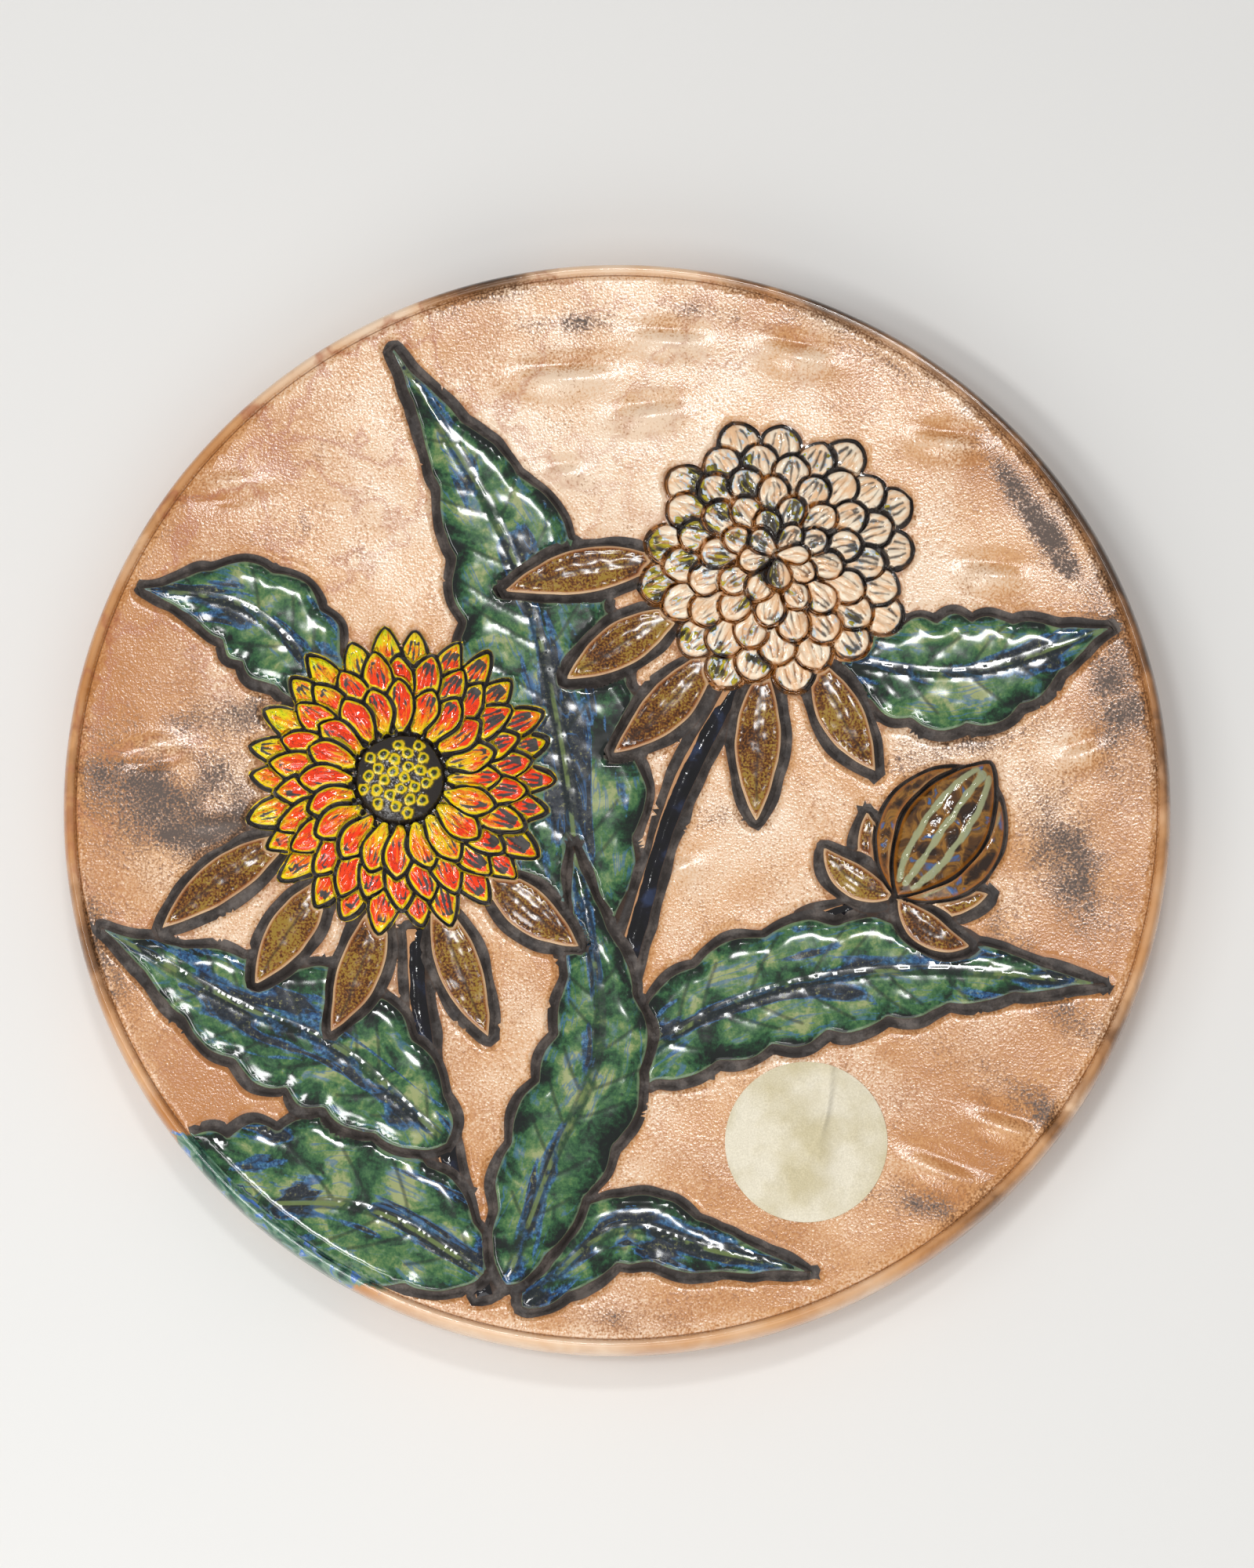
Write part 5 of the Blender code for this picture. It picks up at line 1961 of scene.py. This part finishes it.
@dataclass
class FoilSticker:
    """The round foil sticker, pressed on the ground over the ends of two leaves."""

    thickness: float = 0.12 * MM
    lift: float = 0.10 * MM
    sides: int = 120
    rings: int = 22
    crease_height: float = 0.28 * MM
    crease_width: float = 0.7 * MM
    crease_turn: float = 80.0
    dent_height: float = 0.10 * MM
    smooth_below: float = 40.0
    dent_drift: Drift = Drift(7 * MM, 41)

    def shape(self, flat: Array) -> Array:
        """Height of the foil over the wall: flat on the ground, creased across its upper half.

        Args:
            flat: Flat points of the foil.

        Returns:
            Each point's height.
        """
        gap = flat - STICKER_MIDDLE
        share = length_of(gap) / STICKER_RADIUS
        turn = math.radians(self.crease_turn)
        along, across = gap @ heading(turn), gap @ heading(turn + math.pi / 2)
        bend = 0.8 * MM * np.sin(along / (6 * MM))
        crease = np.exp(-((across + 3 * MM + bend) / self.crease_width) ** 2)
        crease *= np.clip((along + 2 * MM) / (9 * MM), 0, 1)
        dents = self.dent_height * (self.dent_drift.at(flat) + 1) * np.clip(1.6 * (1 - share), 0, 1)
        return field_height(length_of(flat)) + self.lift + self.crease_height * crease + dents

    def build(self) -> Object:
        """The sticker as a thin closed sheet."""
        select_only()
        middle = (float(STICKER_MIDDLE[0]), float(STICKER_MIDDLE[1]), 0.0)
        bpy.ops.mesh.primitive_circle_add(vertices=self.sides, radius=STICKER_RADIUS, location=middle)
        sticker = bpy.context.object
        sticker.name = "foil_sticker"
        bpy.ops.object.transform_apply(location=True, rotation=True, scale=True)
        bpy.ops.object.mode_set(mode="EDIT")
        bpy.ops.mesh.select_all(action="SELECT")
        for ring in range(1, self.rings):
            size = (self.rings - ring) / (self.rings - ring + 1)
            bpy.ops.mesh.extrude_edges_move(TRANSFORM_OT_translate={"value": (0, 0, 0)})
            bpy.ops.transform.resize(value=(size, size, 1), center_override=middle)
        bpy.ops.mesh.extrude_edges_move(TRANSFORM_OT_translate={"value": (0, 0, 0)})
        bpy.ops.mesh.merge(type="CENTER")
        bpy.ops.object.mode_set(mode="OBJECT")
        spots = places_of(sticker.data)
        spots[:, 2] = self.shape(spots[:, :2].astype(float))
        sticker.data.vertices.foreach_set("co", spots.ravel())
        thick = sticker.modifiers.new("foil thickness", "SOLIDIFY")
        thick.thickness = self.thickness
        thick.offset = 0.0
        bpy.ops.object.modifier_apply(modifier=thick.name)
        turn_outwards()
        sticker.data.materials.append(ChampagneFoil().material())
        stand_up(sticker)
        bpy.ops.object.shade_smooth_by_angle(angle=math.radians(self.smooth_below))
        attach(sticker, "root")
        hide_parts("foil_label")
        LOG.info("foil sticker: %d faces", len(sticker.data.polygons))
        return sticker


@dataclass(frozen=True)
class SoftLight:
    """A rectangular soft box that looks at the plate."""

    name: str
    azimuth: float
    elevation: float
    distance: float
    width: float
    height: float
    power: float
    roll: float = 0.0


@dataclass
class Studio:
    """Pale wall and floor, soft boxes and the camera at the photograph's angle."""

    camera_azimuth: float = 0.9
    camera_elevation: float = -10.8
    camera_distance: float = 1.597
    lens: float = 140.0
    aim_right: float = 2.8 * MM
    aim_up: float = 4.6 * MM
    wall_gap: float = 0.5 * MM
    floor_drop: float = 1.5
    backdrop_size: float = 6.0
    wall_colour: str = "#ECEBE8"
    wall_roughness: float = 0.9
    wall_sheen: float = 0.2
    air_colour: str = "#F4F4F6"
    air_strength: float = 0.46
    lights: tuple[SoftLight, ...] = (
        SoftLight("key", -25, -14, 1.25, 1.2, 0.14, 4.3, -45),
        SoftLight("key_core", -13, -6, 1.30, 0.22, 0.15, 2.2),
        SoftLight("glare", 2, 17.5, 1.9, 0.24, 0.16, 4.7),
        SoftLight("below", -14, -50, 1.05, 1.2, 0.5, 2.6),
        SoftLight("behind", 180, 20, 1.4, 0.5, 0.5, 9.0),
    )

    def middle(self) -> Vector:
        """Middle of the plate's edge."""
        return Vector((0, -(FOOT_HEIGHT + BODY_THICKNESS), -FOOT_MIDDLE_RADIUS))

    def direction(self, azimuth: float, elevation: float) -> Vector:
        """Unit step from the plate in a direction given in degrees, 0 straight out of its face."""
        turn, rise = math.radians(azimuth), math.radians(elevation)
        return Vector((math.sin(turn) * math.cos(rise), -math.cos(turn) * math.cos(rise), math.sin(rise)))

    def look(self, thing: Object, spot: Vector, target: Vector, roll: float = 0.0) -> None:
        """Put a light or camera at a spot, looking at a target.

        Args:
            thing: The light or camera.
            spot: Its place.
            target: What it looks at.
            roll: Turn about its line of sight in degrees.
        """
        thing.location = spot
        turn = Quaternion((0, 0, 1), math.radians(roll))
        thing.rotation_euler = ((target - spot).to_track_quat("-Z", "Y") @ turn).to_euler()

    def backdrop_material(self, see_through: bool) -> Material:
        """Matt pale paint; the wall's is open to a look or light from behind it.

        Args:
            see_through: Whether it is the wall's.

        Returns:
            The material.
        """
        made = bpy.data.materials.new("matt_white_wall_paint" if see_through else "matt_white_floor_paint")
        made.use_nodes = True
        tree = made.node_tree
        shader = tree.nodes["Principled BSDF"]
        shader.inputs["Base Color"].default_value = linear(self.wall_colour)
        shader.inputs["Roughness"].default_value = self.wall_roughness
        shader.inputs["Specular IOR Level"].default_value = self.wall_sheen
        if see_through:
            add = partial(add_node, tree)
            behind = add("NewGeometry", output="Backfacing")
            shadow = add("LightPath", output="Is Shadow Ray")
            either = add("Math", (behind, shadow), operation="MAXIMUM")
            mixed = add("MixShader", (either, shader.outputs["BSDF"], add("BsdfTransparent")))
            tree.links.new(mixed, tree.nodes["Material Output"].inputs["Surface"])
        return made

    def build(self) -> None:
        """Wall, floor, lights, world and camera."""
        select_only()
        bpy.ops.mesh.primitive_plane_add(size=self.backdrop_size, location=(0, self.wall_gap, 0),
                                         rotation=(math.pi / 2, 0, 0))
        wall = bpy.context.object
        wall.name = "backdrop_wall"
        wall.data.materials.append(self.backdrop_material(True))
        bpy.ops.mesh.primitive_plane_add(size=self.backdrop_size, location=(0, 0, -self.floor_drop))
        floor = bpy.context.object
        floor.name = "backdrop_floor"
        floor.data.materials.append(self.backdrop_material(False))
        for light in self.lights:
            lamp = bpy.data.lights.new(light.name, "AREA")
            lamp.shape = "RECTANGLE"
            lamp.size = light.width
            lamp.size_y = light.height
            lamp.energy = light.power
            thing = bpy.data.objects.new(light.name, lamp)
            bpy.context.collection.objects.link(thing)
            spot = self.middle() + self.direction(light.azimuth, light.elevation) * light.distance
            self.look(thing, spot, self.middle(), light.roll)
        world = bpy.data.worlds.new("studio_air")
        world.use_nodes = True
        air = world.node_tree.nodes["Background"]
        air.inputs["Color"].default_value = linear(self.air_colour)
        air.inputs["Strength"].default_value = self.air_strength
        bpy.context.scene.world = world
        camera = bpy.data.objects.new("camera", bpy.data.cameras.new("camera"))
        bpy.context.collection.objects.link(camera)
        camera.data.lens = self.lens
        camera.data.clip_start = 0.01
        target = self.middle() + Vector((self.aim_right, 0, self.aim_up))
        spot = target + self.direction(self.camera_azimuth, self.camera_elevation) * self.camera_distance
        self.look(camera, spot, target)
        bpy.context.scene.camera = camera
        bpy.context.scene.view_settings.view_transform = "Standard"


def main() -> None:
    """Build the plate, the sticker and the studio."""
    logging.basicConfig(level=logging.INFO, format="%(relativeCreated)d ms %(message)s")
    relief = Relief(Picture().figures(), Ground())
    Plate(relief).build()
    FoilSticker().build()
    Studio().build()


if __name__ == "__main__":
    main()
